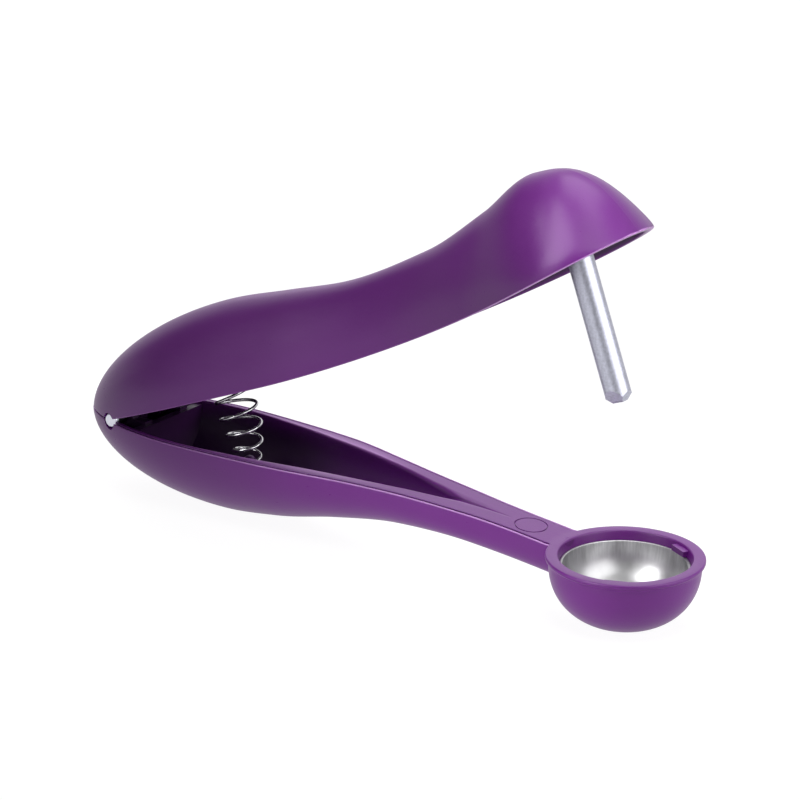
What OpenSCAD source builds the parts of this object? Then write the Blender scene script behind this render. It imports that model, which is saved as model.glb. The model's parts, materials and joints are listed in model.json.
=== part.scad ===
// Hand-held cherry pitter. Two moulded levers turn on a steel rod at the rear and a coiled
// spring holds them open. Squeezing them drives the round pin of the upper lever through the
// cherry in the steel-lined cup of the lower lever, and the pit leaves by the hole below.
// Millimetres, Z up, cup towards +X. Origin: middle of the outline, on the table it rests on.

/* [Overall] */
// Distance from the hinge axis to the cup's axis
reach = 141; // [134:1:150]
// Length of the levers behind the hinge axis
tail = 13; // [12:0.5:15]
// Angle from the closed to the open position
open_angle = 21.2; // [18:0.2:24]
// Slope of the handle's rim above the table
tilt = 1.25; // [1:0.05:1.4]
// Wall of the moulded levers
wall = 2.2; // [1.8:0.1:2.6]
// Gap between the two rims when closed, and at the rear seam when open
rim_gap = 0.3; // [0.3:0.05:0.6]

/* [Lower lever] */
// Widest point of both handles
belly_w = 32; // [30:0.5:36]
// Depth of the handle below its rim
belly_depth = 18.4; // [18:0.1:19]
// Width of the arm at its narrowest
neck_w = 11.6; // [10.5:0.1:12.5]
// Depth of the arm below its top
arm_depth = 8.75; // [8:0.25:10]
// Drop from the handle's rim to the cup's rim
cup_drop = 5; // [4.8:0.05:5.2]

/* [Upper lever] */
// Height of the rear hump above the rim plane
hump_h = 20.7; // [19:0.1:23]
// Height of the saddle in the middle
saddle_h = 18.5; // [17:0.1:19]
// Height of the head's crown above the rim plane
head_h = 32.5; // [31:0.25:35]
// How far the round head stays inside the cup's outline on each side
head_in = 0.2; // [0:0.1:1.2]
// Width of the waist behind the head
waist_w = 20; // [18:0.5:23]
// Rise of the rim from the handle to the head
rim_rise = 10; // [9:0.25:11]

/* [Cup] */
// Outer diameter of the rim
cup_d = 36; // [34:0.5:38]
// Height of the rim above the table
cup_h = 15.4; // [15.2:0.05:15.6]
// Diameter inside the rim
cup_bore_d = 30.3; // [29.5:0.1:31]
// Diameter of the pit hole in the plastic
pit_hole_d = 10.4; // [9.6:0.2:11.2]
// Depth of the steel liner's edge below the rim
liner_drop = 2.1; // [1.8:0.1:2.6]
// Sheet thickness of the steel liner
liner_t = 0.6; // [0.5:0.1:0.8]

/* [Hinge, spring and pin] */
// Diameter of the hinge rod
hinge_d = 3.5; // [3:0.1:4]
// Length of the hinge rod
hinge_len = 23.6; // [22:0.2:24]
// Wire of the spring
wire_d = 0.8; // [0.7:0.05:0.9]
// Mean diameter of the upper, wide coils
coil_top_d = 9.4; // [9:0.1:10]
// Mean diameter of the lowest coil
coil_low_d = 5.3; // [5.2:0.1:6]
// Number of turns
turns = 6.6; // [6:0.05:7]
// Diameter of the pitting pin
pin_d = 6; // [5:0.1:6.6]
// How far the closed pin reaches below the cup
pin_past = 1; // [0:0.25:2]

/* [Hidden] */
$fn = 64;

purple = [0.36, 0.13, 0.50];
steel = [0.78, 0.79, 0.80];

belly_half = belly_w / 2;
neck_half = neck_w / 2;
head_w = cup_d - 2 * head_in;
head_r = head_w / 2;
waist_half = waist_w / 2;
cup_r = cup_d / 2;
bore_r = cup_bore_d / 2;
hinge_r = hinge_d / 2;
wire_r = wire_d / 2;
pin_r = pin_d / 2;
run_clear = 0.05;
part_clear = 0.3;

// Places along the levers, measured forward from the hinge axis
belly_x = 22;
belly_low_x = 30;
hump_x = 38;
saddle_x = 74;
peak_x = reach - 5.1;
waist_x = 90;
flank_x = 100;
bend_x = 52;
ramp_x = 90;
trough_end = 109;
arm_end = reach - bore_r + 2.6;
tip_x = reach + head_r;

// Position on the table: the cup's axis is upright, the handle rests on its belly
hinge_z = cup_h - reach * sin(tilt) + cup_drop * cos(tilt);
cup_ahead = reach * cos(tilt) + cup_drop * sin(tilt);
hinge_x = (tail * cos(tilt) - cup_ahead - cup_r) / 2;
cup_x = hinge_x + cup_ahead;

// Smooth curve through points [x, value], level at its first point, that never overshoots them
function rise(p, i) = (p[i + 1][1] - p[i][1]) / (p[i + 1][0] - p[i][0]);
function slope(p, i, last) =
    i == 0 ? 0 :
    i == len(p) - 1 ? last :
    rise(p, i - 1) * rise(p, i) <= 0 ? 0 :
    2 / (1 / rise(p, i - 1) + 1 / rise(p, i));
function piece_of(p, x, i = 0) = i >= len(p) - 2 || x < p[i + 1][0] ? i : piece_of(p, x, i + 1);
function hermite(a, b, sa, sb, step, t) =
    a * (1 + 2 * t) * (1 - t) * (1 - t) + b * t * t * (3 - 2 * t)
    + step * (sa * t * (1 - t) * (1 - t) - sb * t * t * (1 - t));
function curve_piece(p, x, last, i) =
    let (step = p[i + 1][0] - p[i][0], t = max(0, min(1, (x - p[i][0]) / step)))
    hermite(p[i][1], p[i + 1][1], slope(p, i, last), slope(p, i + 1, last), step, t);
function curve(p, x, last = 0) = curve_piece(p, x, last, piece_of(p, x));
function ease(t) = (1 - cos(180 * max(0, min(1, t)))) / 2;
function root(v) = sqrt(max(0, v));

// Elliptic closing of the tail: 1 at the widest place, 0 at the rear end
function tail_close(x, widest, inset) =
    x >= widest ? 1 : root(1 - pow((widest - x) / (widest + tail - inset), 2));

// Lower lever: half width, rim height and depth at x, all drawn in by the inset
low_width = [[belly_x, belly_half], [42, 0.944 * belly_half], [54, 0.869 * belly_half],
             [72, 0.65 * belly_half], [84, 0.522 * belly_half], [96, neck_half + 1.15],
             [106, neck_half + 0.25], [114, neck_half], [arm_end, neck_half]];
low_depth = [[belly_low_x, belly_depth], [45, 0.92 * belly_depth], [62, 0.73 * belly_depth],
             [80, arm_depth + 1.5], [100, arm_depth], [arm_end, arm_depth]];
arm_drop = cup_drop - cup_r * tan(tilt);
function low_half(x, inset) = (curve(low_width, x) - inset) * tail_close(x, belly_x, inset);
function low_rim(x) = -arm_drop * pow(max(0, x - bend_x - 3) / (reach - cup_r - bend_x - 3), 1.76);
function low_deep(x, inset) =
    (curve(low_depth, x) - inset) * tail_close(x, belly_low_x, inset);
// Power of the section: an ellipse at the handle, fuller at the arm
function low_power(x) = 2 + 0.5 * ease((x - saddle_x) / 30);

// Trough of the lower lever: a boat shape, with a ramp up to a shallow point on the arm
trough_width = [[belly_x, belly_half - wall], [39, 0.78 * belly_half], [51, 0.663 * belly_half],
                [66, 0.481 * belly_half], [78, neck_half - 0.6], [88, neck_half / 2],
                [trough_end, 0]];
trough_depth = [[belly_low_x, belly_depth - wall], [55, 0.68 * belly_depth],
                [78, 0.36 * belly_depth], [ramp_x, 0.16 * belly_depth], [ramp_x + 5, 0.8], [trough_end, 0]];
function trough_half(x) = curve(trough_width, x, -0.15) * tail_close(x, belly_x, wall);
function trough_deep(x) = curve(trough_depth, x, -0.08) * tail_close(x, belly_low_x, wall);

// Upper lever, in its closed position: half width, rim height and crown height at x
up_width = [[belly_x, belly_half], [48, 14.2 / 16 * belly_half], [waist_x, waist_half],
            [115, (waist_half + head_r) / 2 - 1.1], [reach, head_r]];
up_crown = [[hump_x, hump_h], [55, 0.95 * hump_h], [saddle_x, saddle_h],
            [100, saddle_h + 0.19 * (head_h - saddle_h)],
            [reach - 21, saddle_h + 0.6 * (head_h - saddle_h)], [peak_x, head_h]];
rim_bend = 1.9;
brow_power = 3;
function up_rim(x) = rim_gap + rim_rise * pow(max(0, x - bend_x + 2) / (reach - bend_x + 2), rim_bend);
function up_half(x, inset) =
    x > reach ? (head_r - inset) * root(1 - pow((x - reach) / (head_r - inset), 2)) :
    (curve(up_width, x) - inset) * tail_close(x, belly_x, inset);
function up_top(x, inset) =
    x <= peak_x ? (curve(up_crown, x) - inset) * tail_close(x, hump_x, inset) :
    let (low = up_rim(tip_x), part = (x - peak_x) / (tip_x - inset - peak_x))
    low + (head_h - inset - low) * (1 - pow(part, brow_power));
// How far the flanks are drawn in below the round crown; the head is bell-shaped, the handle isn't
flank = 0.5;
function up_flank(x) = flank * ease((x - flank_x) / (reach - flank_x));
// The rear rim is cut along the lower rim as it stands when the levers are open
function seam_cut(x) = (rim_gap - x * sin(open_angle)) / cos(open_angle);
seam_x = rim_gap * (1 - cos(open_angle)) / sin(open_angle);

// Rear end of the upper lever, where its crown line meets the seam cut
function tail_end(inset) =
    let (h = hump_h - inset, l = hump_x + tail - inset, s = tan(open_angle),
         c = rim_gap / cos(open_angle) - s * hump_x,
         qa = h * h / (l * l) + s * s, qb = s * c, qc = c * c - h * h)
    hump_x - (root(qb * qb - qa * qc) - qb) / qa;

// Half ring of an upper section from one rim edge over the crown to the other
sides = 20;
function up_ring(x, inset) =
    let (base = up_rim(x), high = max(0.001, up_top(x, inset) - base), half = up_half(x, inset),
         first = x < seam_x ? asin(max(0, min(1, (seam_cut(x) - base) / high))) : 0)
    [for (j = [0:sides]) let (a = first + (180 - 2 * first) * j / sides)
        [x, half * cos(a), base + high * sin(a) * (1 - up_flank(x) * pow(cos(a), 2))]];
function low_ring(x, half, deep, power = 2) =
    [for (j = [0:sides]) let (a = 180 * j / sides)
        [x, half * sign(cos(a)) * pow(abs(cos(a)), 2 / power), low_rim(x) - deep * pow(sin(a), 2 / power)]];

// Stations along the levers; the ends are spaced more closely
n_tail = 9;
n_trough = 20;
n_arm = 8;
n_seam = 6;
n_grip = 5;
n_back = 24;
n_tip = 9;
function low_stations(inset) = concat(
    [for (i = [1:n_tail]) inset - tail + (belly_x + tail - inset) * (1 - cos(90 * i / n_tail))],
    [for (i = [1:n_trough - 1]) belly_x + (trough_end - belly_x) * i / n_trough]);
arm_stations = [for (i = [0:n_arm]) trough_end + (arm_end - trough_end) * i / n_arm];
function up_stations(inset) = let (first = tail_end(inset)) concat(
    [for (i = [1:n_seam]) first + (seam_x - first) * (1 - cos(90 * i / n_seam))],
    [for (i = [1:n_grip]) seam_x + (belly_x - seam_x) * i / n_grip],
    [for (i = [1:n_back]) belly_x + (reach - belly_x) * i / n_back],
    [for (i = [1:n_tip - 1]) reach + (head_r - inset) * sin(90 * i / n_tip)]);

// Triangles of a skin of n rings between two end points, numbered from the first end point
function flat(lists) = [for (l = lists) each l];
function spot(i, j, n, base) =
    i == 0 ? base : i == n + 1 ? base + 1 + n * (sides + 1) : base + 1 + (i - 1) * (sides + 1) + j;
function quad(a, b, c, d) = [[a, b, c], [a, c, d]];
function real_faces(faces) = [for (f = faces) if (f[0] != f[1] && f[1] != f[2] && f[0] != f[2]) f];
function turned(faces) = [for (f = faces) [f[0], f[2], f[1]]];
function skin(n, last, base) = flat([for (i = [0:last], j = [0:sides - 1])
    quad(spot(i, j, n, base), spot(i + 1, j, n, base), spot(i + 1, j + 1, n, base), spot(i, j + 1, n, base))]);
// Rim between the outer skin from a and the inner skin from b
function rim_faces(n, last, a, m, b) = flat([for (i = [0:last]) concat(
    quad(spot(i, 0, n, a), spot(i, 0, m, b), spot(i + 1, 0, m, b), spot(i + 1, 0, n, a)),
    quad(spot(i, sides, n, a), spot(i + 1, sides, n, a), spot(i + 1, sides, m, b), spot(i, sides, m, b)))]);

// Shell of the upper lever: outer skin, rim and inner skin in one closed surface
module upper_shell() {
    outer = up_stations(0);
    inner = up_stations(wall);
    n = len(outer);
    count = n * (sides + 1) + 2;
    function skin_points(stations, inset) = let (first = tail_end(inset)) concat(
        [[first, 0, seam_cut(first)]],
        flat([for (x = stations) up_ring(x, inset)]),
        [[tip_x - inset, 0, up_rim(tip_x - inset)]]);
    points = concat(skin_points(outer, 0), skin_points(inner, wall));
    faces = concat(skin(n, n, 0), turned(skin(n, n, count)), rim_faces(n, n, 0, n, count));
    polyhedron(points, real_faces(faces));
}

// Upper lever without its hollow, drawn in a little so that inner webs end within the wall
module upper_core(inset) {
    stations = up_stations(inset);
    n = len(stations);
    first = tail_end(inset);
    points = concat([[first, 0, seam_cut(first)]], flat([for (x = stations) up_ring(x, inset)]),
                    [[tip_x - inset, 0, up_rim(tip_x - inset)]]);
    base = flat([for (i = [0:n])
        quad(spot(i, 0, n, 0), spot(i, sides, n, 0), spot(i + 1, sides, n, 0), spot(i + 1, 0, n, 0))]);
    polyhedron(points, real_faces(concat(skin(n, n, 0), base)));
}

// Handle and arm of the lower lever with the trough, in one closed surface
module lower_shell() {
    outer = concat(low_stations(0), arm_stations);
    inner = low_stations(wall);
    n = len(outer);
    m = len(inner);
    count = n * (sides + 1) + 1;
    point_end = m + 1;
    points = concat(
        [[-tail, 0, 0]],
        flat([for (x = outer) low_ring(x, low_half(x, 0), low_deep(x, 0), low_power(x))]),
        [[wall - tail, 0, 0]],
        flat([for (x = inner) low_ring(x, trough_half(x), trough_deep(x))]),
        [[trough_end, 0, low_rim(trough_end)]]);
    function o(i, j) = spot(i, j, n, 0);
    trough_point = spot(m + 1, 0, m, count);
    arm_top = flat([for (i = [point_end + 1:n - 1]) quad(o(i, 0), o(i, sides), o(i + 1, sides), o(i + 1, 0))]);
    fan = [[o(point_end, 0), trough_point, o(point_end + 1, 0)],
           [trough_point, o(point_end + 1, sides), o(point_end + 1, 0)],
           [trough_point, o(point_end, sides), o(point_end + 1, sides)]];
    end_cap = [for (j = [1:sides - 1]) [o(n, 0), o(n, j + 1), o(n, j)]];
    faces = concat(skin(n, n - 1, 0), turned(skin(m, m, count)), rim_faces(n, m, 0, m, count),
                   arm_top, fan, end_cap);
    polyhedron(points, turned(real_faces(faces)));
}

// Handle without its trough, drawn in a little
module lower_core(inset) {
    stations = low_stations(inset);
    n = len(stations);
    points = concat(
        [[inset - tail, 0, 0]],
        flat([for (x = stations) low_ring(x, low_half(x, inset), low_deep(x, inset), low_power(x))]),
        [[trough_end, 0, low_rim(trough_end)]]);
    base = flat([for (i = [0:n])
        quad(spot(i, 0, n, 0), spot(i, sides, n, 0), spot(i + 1, sides, n, 0), spot(i + 1, 0, n, 0))]);
    polyhedron(points, turned(real_faces(concat(skin(n, n, 0), base))));
}

// Hinge: each lever has a pair of ears on a cross wall, the lower pair outside the upper pair
ear_r = hinge_r + 1.85;
ear_t = 2.6;
ear_in_upper = 2.3;
ear_in_lower = ear_in_upper + ear_t + part_clear;
ear_outer = ear_in_lower + ear_t;
cross_wall_x = ear_r + 2.9;
cross_wall_t = 2;
bed = 0.8;

module seated() {
    translate([hinge_x, 0, hinge_z]) rotate([0, -tilt, 0]) children();
}

module opened() {
    translate([hinge_x, 0, hinge_z]) rotate([0, -open_angle, 0]) translate([-hinge_x, 0, -hinge_z]) children();
}

// Rod across the levers along the hinge axis
module cross_rod(r, from, to) {
    for (side = [-1, 1])
        translate([0, side * from, 0]) rotate([-90 * side, 0, 0]) cylinder(r = r, h = to - from);
}

// Ears whose arms run forward to the cross wall, above or below the axis
module ears(from, side_z) {
    for (side = [-1, 1])
        translate([0, side * (from + ear_t / 2), 0]) rotate([90, 0, 0])
            linear_extrude(height = ear_t, center = true) union() {
                circle(r = ear_r);
                translate([0, side_z > 0 ? 0 : -ear_r]) square([cross_wall_x + cross_wall_t / 2, ear_r]);
            }
}

module cross_wall(side_z) {
    deep = 2 * belly_depth;
    translate([cross_wall_x, -belly_half, side_z > 0 ? bed : -deep]) cube([cross_wall_t, belly_w, deep - bed]);
}

// Spring: seats on both levers and the bent axis between them
low_seat = [33.1, -9.4];
up_seat = [29.9, 2.5];
seat_play = 0.06;
post_r = coil_low_d / 2 - wire_r - 0.55;
post_top = -5;
spigot_r = coil_top_d / 2 - wire_r - 0.7;
rib_t = 1.8;

module spring_post() {
    translate([low_seat[0], 0, -belly_depth]) {
        cylinder(r = coil_low_d / 2 + wire_r + 0.4, h = belly_depth + low_seat[1]);
        cylinder(r = post_r, h = belly_depth + post_top - post_r);
    }
    translate([low_seat[0], 0, post_top - post_r]) sphere(r = post_r);
}

module spring_spigot() {
    high = hump_h;
    reach_out = coil_top_d + 2 * wire_d + 0.6;
    translate([up_seat[0], 0, 0]) {
        translate([0, 0, up_seat[1] - 2]) cylinder(r = spigot_r, h = high);
        translate([-reach_out / 2, -rib_t / 2, up_seat[1]]) cube([reach_out, rib_t, high]);
        translate([-rib_t / 2, -reach_out / 2, up_seat[1]]) cube([rib_t, reach_out, high]);
    }
}

// Pitting pin: upright over the cup when closed, held in a boss under the head's crown
pin_top = hinge_z + reach * sin(tilt) + head_h - wall - 3;
boss_r = pin_r + 2.2;
boss_low = hinge_z + reach * sin(tilt) + up_rim(reach) + 3.4;
tip_flat_r = pin_r / 2;
tip_h = 2.7;

module boss_ribs() {
    high = head_h;
    long = head_r + 4;
    translate([cup_x, 0, boss_low + 2]) {
        translate([-long, -rib_t / 2, 0]) cube([long, rib_t, high]);
        translate([-rib_t / 2, -head_r, 0]) cube([rib_t, head_w, high]);
    }
}

// Cup: a bowl of revolution with a rolled rim, and the round hollow for the liner
lip_h = 1.5;
lip_out = 0.8;
lip_round = 0.5;
bowl_r = cup_r - lip_out;
foot_r = pit_hole_d / 2 + 2.3;
liner_edge = cup_h - liner_drop;
liner_r = bore_r - 0.4;
floor_t = 1.7;
floor_r = foot_r - 1;
bowl_steps = 12;
// Curve of a bowl from [r, top] in to [r_low, low]; a higher power makes it fuller
function bowl(r, top, r_low, low, power) =
    let (last = acos(pow(r_low / r, power / 2)), full = pow(sin(last), 2 / power))
    [for (i = [0:bowl_steps]) let (a = last * i / bowl_steps)
        [r * pow(cos(a), 2 / power), top - (top - low) * pow(sin(a), 2 / power) / full]];

module cup_body() {
    rotate_extrude() polygon(concat(
        [[0, 0], [0, cup_h], [cup_r - lip_round, cup_h], [cup_r, cup_h - lip_round],
         [cup_r, cup_h - lip_h + 0.3], [cup_r - 0.3, cup_h - lip_h]],
        bowl(bowl_r, cup_h - lip_h, foot_r, 0, 2.5)));
}

module cup_hollow() {
    above = cup_h + 6;
    rotate_extrude() polygon(concat(
        [[0, above], [bore_r + 0.4, above], [bore_r + 0.4, cup_h], [bore_r, cup_h - 0.4]],
        bowl(liner_r, liner_edge, floor_r, floor_t, 2.3),
        [[pit_hole_d / 2, floor_t], [pit_hole_d / 2, -1], [0, -1]]));
}

// Two tabs on the wall of the cup that hold the liner's edge down
tab_w = 5;
tab_at = 65;
module liner_tabs() {
    for (side = [-1, 1])
        rotate([0, 0, side * tab_at]) translate([liner_r - 1.2, -tab_w / 2, liner_edge + 0.15])
            cube([2, tab_w, 1.3]);
}

// Shallow round mark that the mould leaves on the arm
mark_x = reach - 25.9;
mark_r = 3.9;
mark_depth = 0.25;
module mould_mark() {
    step = 0.5;
    fall = atan((low_rim(mark_x - step) - low_rim(mark_x + step)) / (2 * step));
    translate([mark_x, 0, low_rim(mark_x)]) rotate([0, fall, 0])
        translate([0, 0, -mark_depth]) cylinder(r = mark_r, h = 2);
}

module lower_lever() {
    color(purple) difference() {
        union() {
            seated() {
                lower_shell();
                intersection() {
                    lower_core(bed);
                    union() {
                        cross_wall(-1);
                        spring_post();
                    }
                }
                ears(ear_in_lower, -1);
            }
            translate([cup_x, 0, 0]) cup_body();
        }
        difference() {
            translate([cup_x, 0, 0]) cup_hollow();
            translate([cup_x, 0, 0]) liner_tabs();
        }
        seated() {
            cross_rod(hinge_r + run_clear, 0, ear_outer + 0.2);
            cross_rod(hinge_r + part_clear, ear_outer + 0.1, belly_half);
            mould_mark();
        }
        translate([-reach, -belly_w, -20]) cube([2 * reach, 2 * belly_w, 20]);
    }
}

module cup_liner() {
    gap = 0.08;
    outer = bowl(liner_r - gap, liner_edge, floor_r - gap, floor_t, 2.3);
    inner = bowl(liner_r - gap - liner_t, liner_edge, floor_r - 0.3, floor_t + liner_t, 2.3);
    hole_r = pit_hole_d / 2 - 0.6;
    color(steel) translate([cup_x, 0, 0]) rotate_extrude()
        polygon(concat(outer, [[hole_r, floor_t], [hole_r, floor_t + liner_t]],
                       [for (i = [bowl_steps:-1:0]) inner[i]]));
}

module hinge_pin() {
    edge = 0.4;
    half = hinge_len / 2;
    color(steel) seated() rotate([90, 0, 0]) rotate_extrude()
        polygon([[0, -half], [hinge_r - edge, -half], [hinge_r, edge - half],
                 [hinge_r, half - edge], [hinge_r - edge, half], [0, half]]);
}

// Axis of the open spring, bent from the lower seat to the upper one, t from 0 to 1
low_end = [low_seat[0], low_seat[1] + wire_r + seat_play];
up_end_closed = [up_seat[0], up_seat[1] - wire_r - seat_play];
up_end = [up_end_closed[0] * cos(open_angle) - up_end_closed[1] * sin(open_angle),
          up_end_closed[0] * sin(open_angle) + up_end_closed[1] * cos(open_angle)];
span = norm(up_end - low_end);
function axis_part(k, t) =
    hermite(low_end[k], up_end[k], k == 0 ? 0 : 1, k == 0 ? -sin(open_angle) : cos(open_angle), span, t);
function lean(t) = open_angle * ease(t);
// The coils widen over the lower part of the spring
taper_part = 0.62;
function coil_r(t) = (coil_low_d + (coil_top_d - coil_low_d) * ease(t / taper_part)) / 2;
per_turn = 8;
rings = round(turns * per_turn);
start_angle = 190;
// Climb at turn k against the middle turns: the end turns lie closer, the wide turns further apart
end_pitch = 0.34;
pitch_growth = 0.4;
function pitch_at(k) = (1 + pitch_growth * (k / turns - 0.5))
    * (end_pitch + (1 - end_pitch) * ease((k - 0.4) / 0.8) * ease((turns - 0.4 - k) / 0.8));
climb = [for (i = 0, s = 0; i <= rings; s = s + pitch_at((i + 0.5) / per_turn), i = i + 1) s];
function coil_at(i) =
    let (t = climb[i] / climb[rings], a = start_angle + 360 * i / per_turn, q = lean(t))
    [axis_part(0, t), 0, axis_part(1, t)]
    + coil_r(t) * (cos(a) * [cos(q), 0, sin(q)] + sin(a) * [0, 1, 0]);
function unit(v) = v / norm(v);
coil = [for (i = [0:rings]) coil_at(i)];
// Both ends run on straight for one wire diameter
wire_line = concat([coil[0] - wire_d * unit(coil[1] - coil[0])], coil,
                   [coil[rings] + wire_d * unit(coil[rings] - coil[rings - 1])]);
last_ring = len(wire_line) - 1;
wire_sides = 6;
function wire_ring(i) =
    let (along = unit(wire_line[min(last_ring, i + 1)] - wire_line[max(0, i - 1)]),
         aside = unit(cross(along, [0, 0, 1])), up = cross(aside, along))
    [for (k = [0:wire_sides - 1]) let (a = 360 * k / wire_sides)
        wire_line[i] + wire_r * (cos(a) * aside + sin(a) * up)];
apart = [for (i = [0:rings], j = [i + per_turn - 2:1:rings]) norm(coil[i] - coil[j]) - wire_d];
echo(least_gap_between_turns = min(apart));

module return_spring() {
    points = flat([for (i = [0:last_ring]) wire_ring(i)]);
    function w(i, k) = i * wire_sides + (k % wire_sides);
    side_faces = flat([for (i = [0:last_ring - 1], k = [0:wire_sides - 1])
        quad(w(i, k), w(i + 1, k), w(i + 1, k + 1), w(i, k + 1))]);
    end_faces = [for (k = [1:wire_sides - 2]) each
        [[w(0, 0), w(0, k), w(0, k + 1)], [w(last_ring, 0), w(last_ring, k + 1), w(last_ring, k)]]];
    color(steel) seated() polyhedron(points, turned(concat(side_faces, end_faces)));
}

module upper_lever() {
    color(purple) opened() difference() {
        union() {
            seated() {
                upper_shell();
                ears(ear_in_upper, 1);
            }
            intersection() {
                seated() upper_core(bed);
                union() {
                    seated() {
                        cross_wall(1);
                        spring_spigot();
                    }
                    translate([cup_x, 0, boss_low]) cylinder(r = boss_r, h = head_h);
                    boss_ribs();
                }
            }
        }
        seated() {
            cross_rod(hinge_r + run_clear, 0, ear_in_lower);
            cross_rod(hinge_r + part_clear, ear_outer, belly_half);
        }
        translate([cup_x, 0, boss_low - 1]) cylinder(r = pin_r, h = pin_top - boss_low + 1);
    }
}

module pitting_pin() {
    color(steel) opened() translate([cup_x, 0, 0]) rotate_extrude()
        polygon([[0, -pin_past], [tip_flat_r, -pin_past], [pin_r, tip_h - pin_past],
                 [pin_r, pin_top], [0, pin_top]]);
}

lower_lever();
cup_liner();
hinge_pin();
return_spring();
upper_lever();
pitting_pin();
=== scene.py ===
"""Looks of a hand-held cherry pitter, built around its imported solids.

Forms are worked out in millimetres in the lever frame: its origin is the hinge axis, x runs forward
along the closed rims towards the cup and z is up. Meshes get them in metres, in the frame of the solids.
"""

import json
import math
from types import SimpleNamespace

import bmesh
import bpy
import numpy as np
from bpy.props import FloatProperty, FloatVectorProperty, PointerProperty
from mathutils import Matrix, Vector


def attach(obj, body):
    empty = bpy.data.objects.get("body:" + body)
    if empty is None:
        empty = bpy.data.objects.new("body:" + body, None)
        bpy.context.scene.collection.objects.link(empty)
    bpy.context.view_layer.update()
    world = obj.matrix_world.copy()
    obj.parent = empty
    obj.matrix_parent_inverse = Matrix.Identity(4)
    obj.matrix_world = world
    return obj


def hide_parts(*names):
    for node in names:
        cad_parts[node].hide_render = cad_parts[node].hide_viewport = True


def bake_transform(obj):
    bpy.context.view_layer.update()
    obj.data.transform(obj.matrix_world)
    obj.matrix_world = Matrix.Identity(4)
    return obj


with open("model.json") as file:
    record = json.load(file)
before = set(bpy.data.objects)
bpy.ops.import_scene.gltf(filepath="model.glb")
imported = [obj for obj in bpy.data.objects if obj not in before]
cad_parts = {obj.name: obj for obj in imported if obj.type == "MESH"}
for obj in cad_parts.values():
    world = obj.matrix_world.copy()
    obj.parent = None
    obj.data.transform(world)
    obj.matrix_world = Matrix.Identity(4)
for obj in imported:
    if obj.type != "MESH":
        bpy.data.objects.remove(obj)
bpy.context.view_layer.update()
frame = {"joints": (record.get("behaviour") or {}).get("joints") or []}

bl_info = {
    "name": "Cherry Pitter",
    "version": (1, 0, 0),
    "blender": (4, 5, 0),
    "location": "View3D > Sidebar > Pitter",
    "description": "Builds the visible pieces of a hand-held cherry pitter around its solids",
    "category": "Object",
}

MM = 0.001
# Keeps divisors above nought, in millimetres
TINY = 1e-6
HINGE = frame["joints"][0]
Y_AXIS = 1
Z_AXIS = 2
MIRROR_Y = np.array([1.0, -1.0, 1.0])
WHITE = (1.0, 1.0, 1.0, 1.0)
# Attribute of the plastic that carries painted light: 1 is a painted highlight as pale as a thin lit
# edge, -1 painted shade as dark as the bottom of a hollow
PAINTED_LIGHT = "tone"
# Full painted shade, given to hollows, the groove beside the plate and hidden fittings
FULL_PAINTED_SHADE = -1.0


# Sizes and colours that a user would change

def length(name, millimetres, text):
    """A length of the pitter, written here in millimetres and kept in metres."""
    return FloatProperty(name=name, description=text, default=millimetres * MM, min=0.0,
                         precision=5, unit="LENGTH", subtype="DISTANCE")


def angle(name, degrees, text):
    """An angle, written here in degrees."""
    return FloatProperty(name=name, description=text, default=math.radians(degrees), subtype="ANGLE",
                         unit="ROTATION")


def colour(name, value, text):
    """A colour in linear values."""
    return FloatVectorProperty(name=name, description=text, default=value, size=3, min=0.0, max=1.0,
                               subtype="COLOR")


def share(name, value, text):
    """A plain number from 0 to 1."""
    return FloatProperty(name=name, description=text, default=value, min=0.0, max=1.0, subtype="FACTOR")


def watts(name, value, text):
    """Power of a lamp."""
    return FloatProperty(name=name, description=text, default=value, min=0.0, unit="POWER")


class PitterSizes(bpy.types.PropertyGroup):
    """Sizes of the levers, cup, rods and spring"""

    reach: length("Reach", 141, "From the hinge axis to the cup's axis")
    tail: length("Tail", 13, "Length of the levers behind the hinge axis")
    open_angle: angle("Opening", HINGE["range_deg"][1], "From the closed to the open position")
    tilt: angle("Tilt", 1.25, "Slope of the handle's rim above the table")
    wall: length("Wall", 2.2, "Wall of the moulded levers")
    rim_gap: length("Rim gap", 0.3, "Gap between the rims when closed")
    belly_width: length("Belly width", 32, "Widest place of both handles")
    belly_depth: length("Belly depth", 18.4, "Depth of the lower handle below its rim")
    neck_width: length("Neck width", 11.6, "Width of the arm at its narrowest")
    arm_depth: length("Arm depth", 8.75, "Depth of the arm below its top")
    cup_drop: length("Cup drop", 5, "From the handle's rim down to the cup's rim")
    hump_height: length("Hump height", 20.7, "Rear hump of the upper lever above the rim")
    saddle_height: length("Saddle height", 18.5, "Saddle of the upper lever above the rim")
    head_height: length("Head height", 32.35, "Crown of the head above the rim")
    head_width: length("Head width", 35.6, "Width of the round head")
    waist_width: length("Waist width", 20, "Width behind the head")
    rim_rise: length("Rim rise", 10, "Rise of the upper rim from the handle to the head")
    cup_diameter: length("Cup diameter", 36, "Across the cup's lip")
    cup_height: length("Cup height", 15.4, "Lip of the cup above the table")
    cup_bore: length("Cup bore", 30.3, "Across the cup inside its lip")
    pit_hole: length("Pit hole", 10.4, "Hole for the pit in the cup's floor")
    liner_drop: length("Liner drop", 2.1, "From the cup's lip down to the liner's edge")
    liner_sheet: length("Liner sheet", 0.6, "Sheet thickness of the liner")
    hinge_diameter: length("Hinge rod", 3.5, "Diameter of the hinge rod")
    hinge_length: length("Hinge rod length", 23.6, "Length of the hinge rod")
    wire: length("Wire", 0.8, "Diameter of the spring's wire")
    coil_top: length("Upper coils", 9.4, "Mean diameter of the upper coils")
    coil_low: length("Lowest coil", 5.3, "Mean diameter of the lowest coil")
    turns: FloatProperty(name="Turns", description="Turns of the spring", default=6.6, min=1.0)
    pin_diameter: length("Pitting rod", 6, "Diameter of the pitting rod")
    pin_past: length("Rod travel", 1, "How far the closed rod reaches below the cup")


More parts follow.
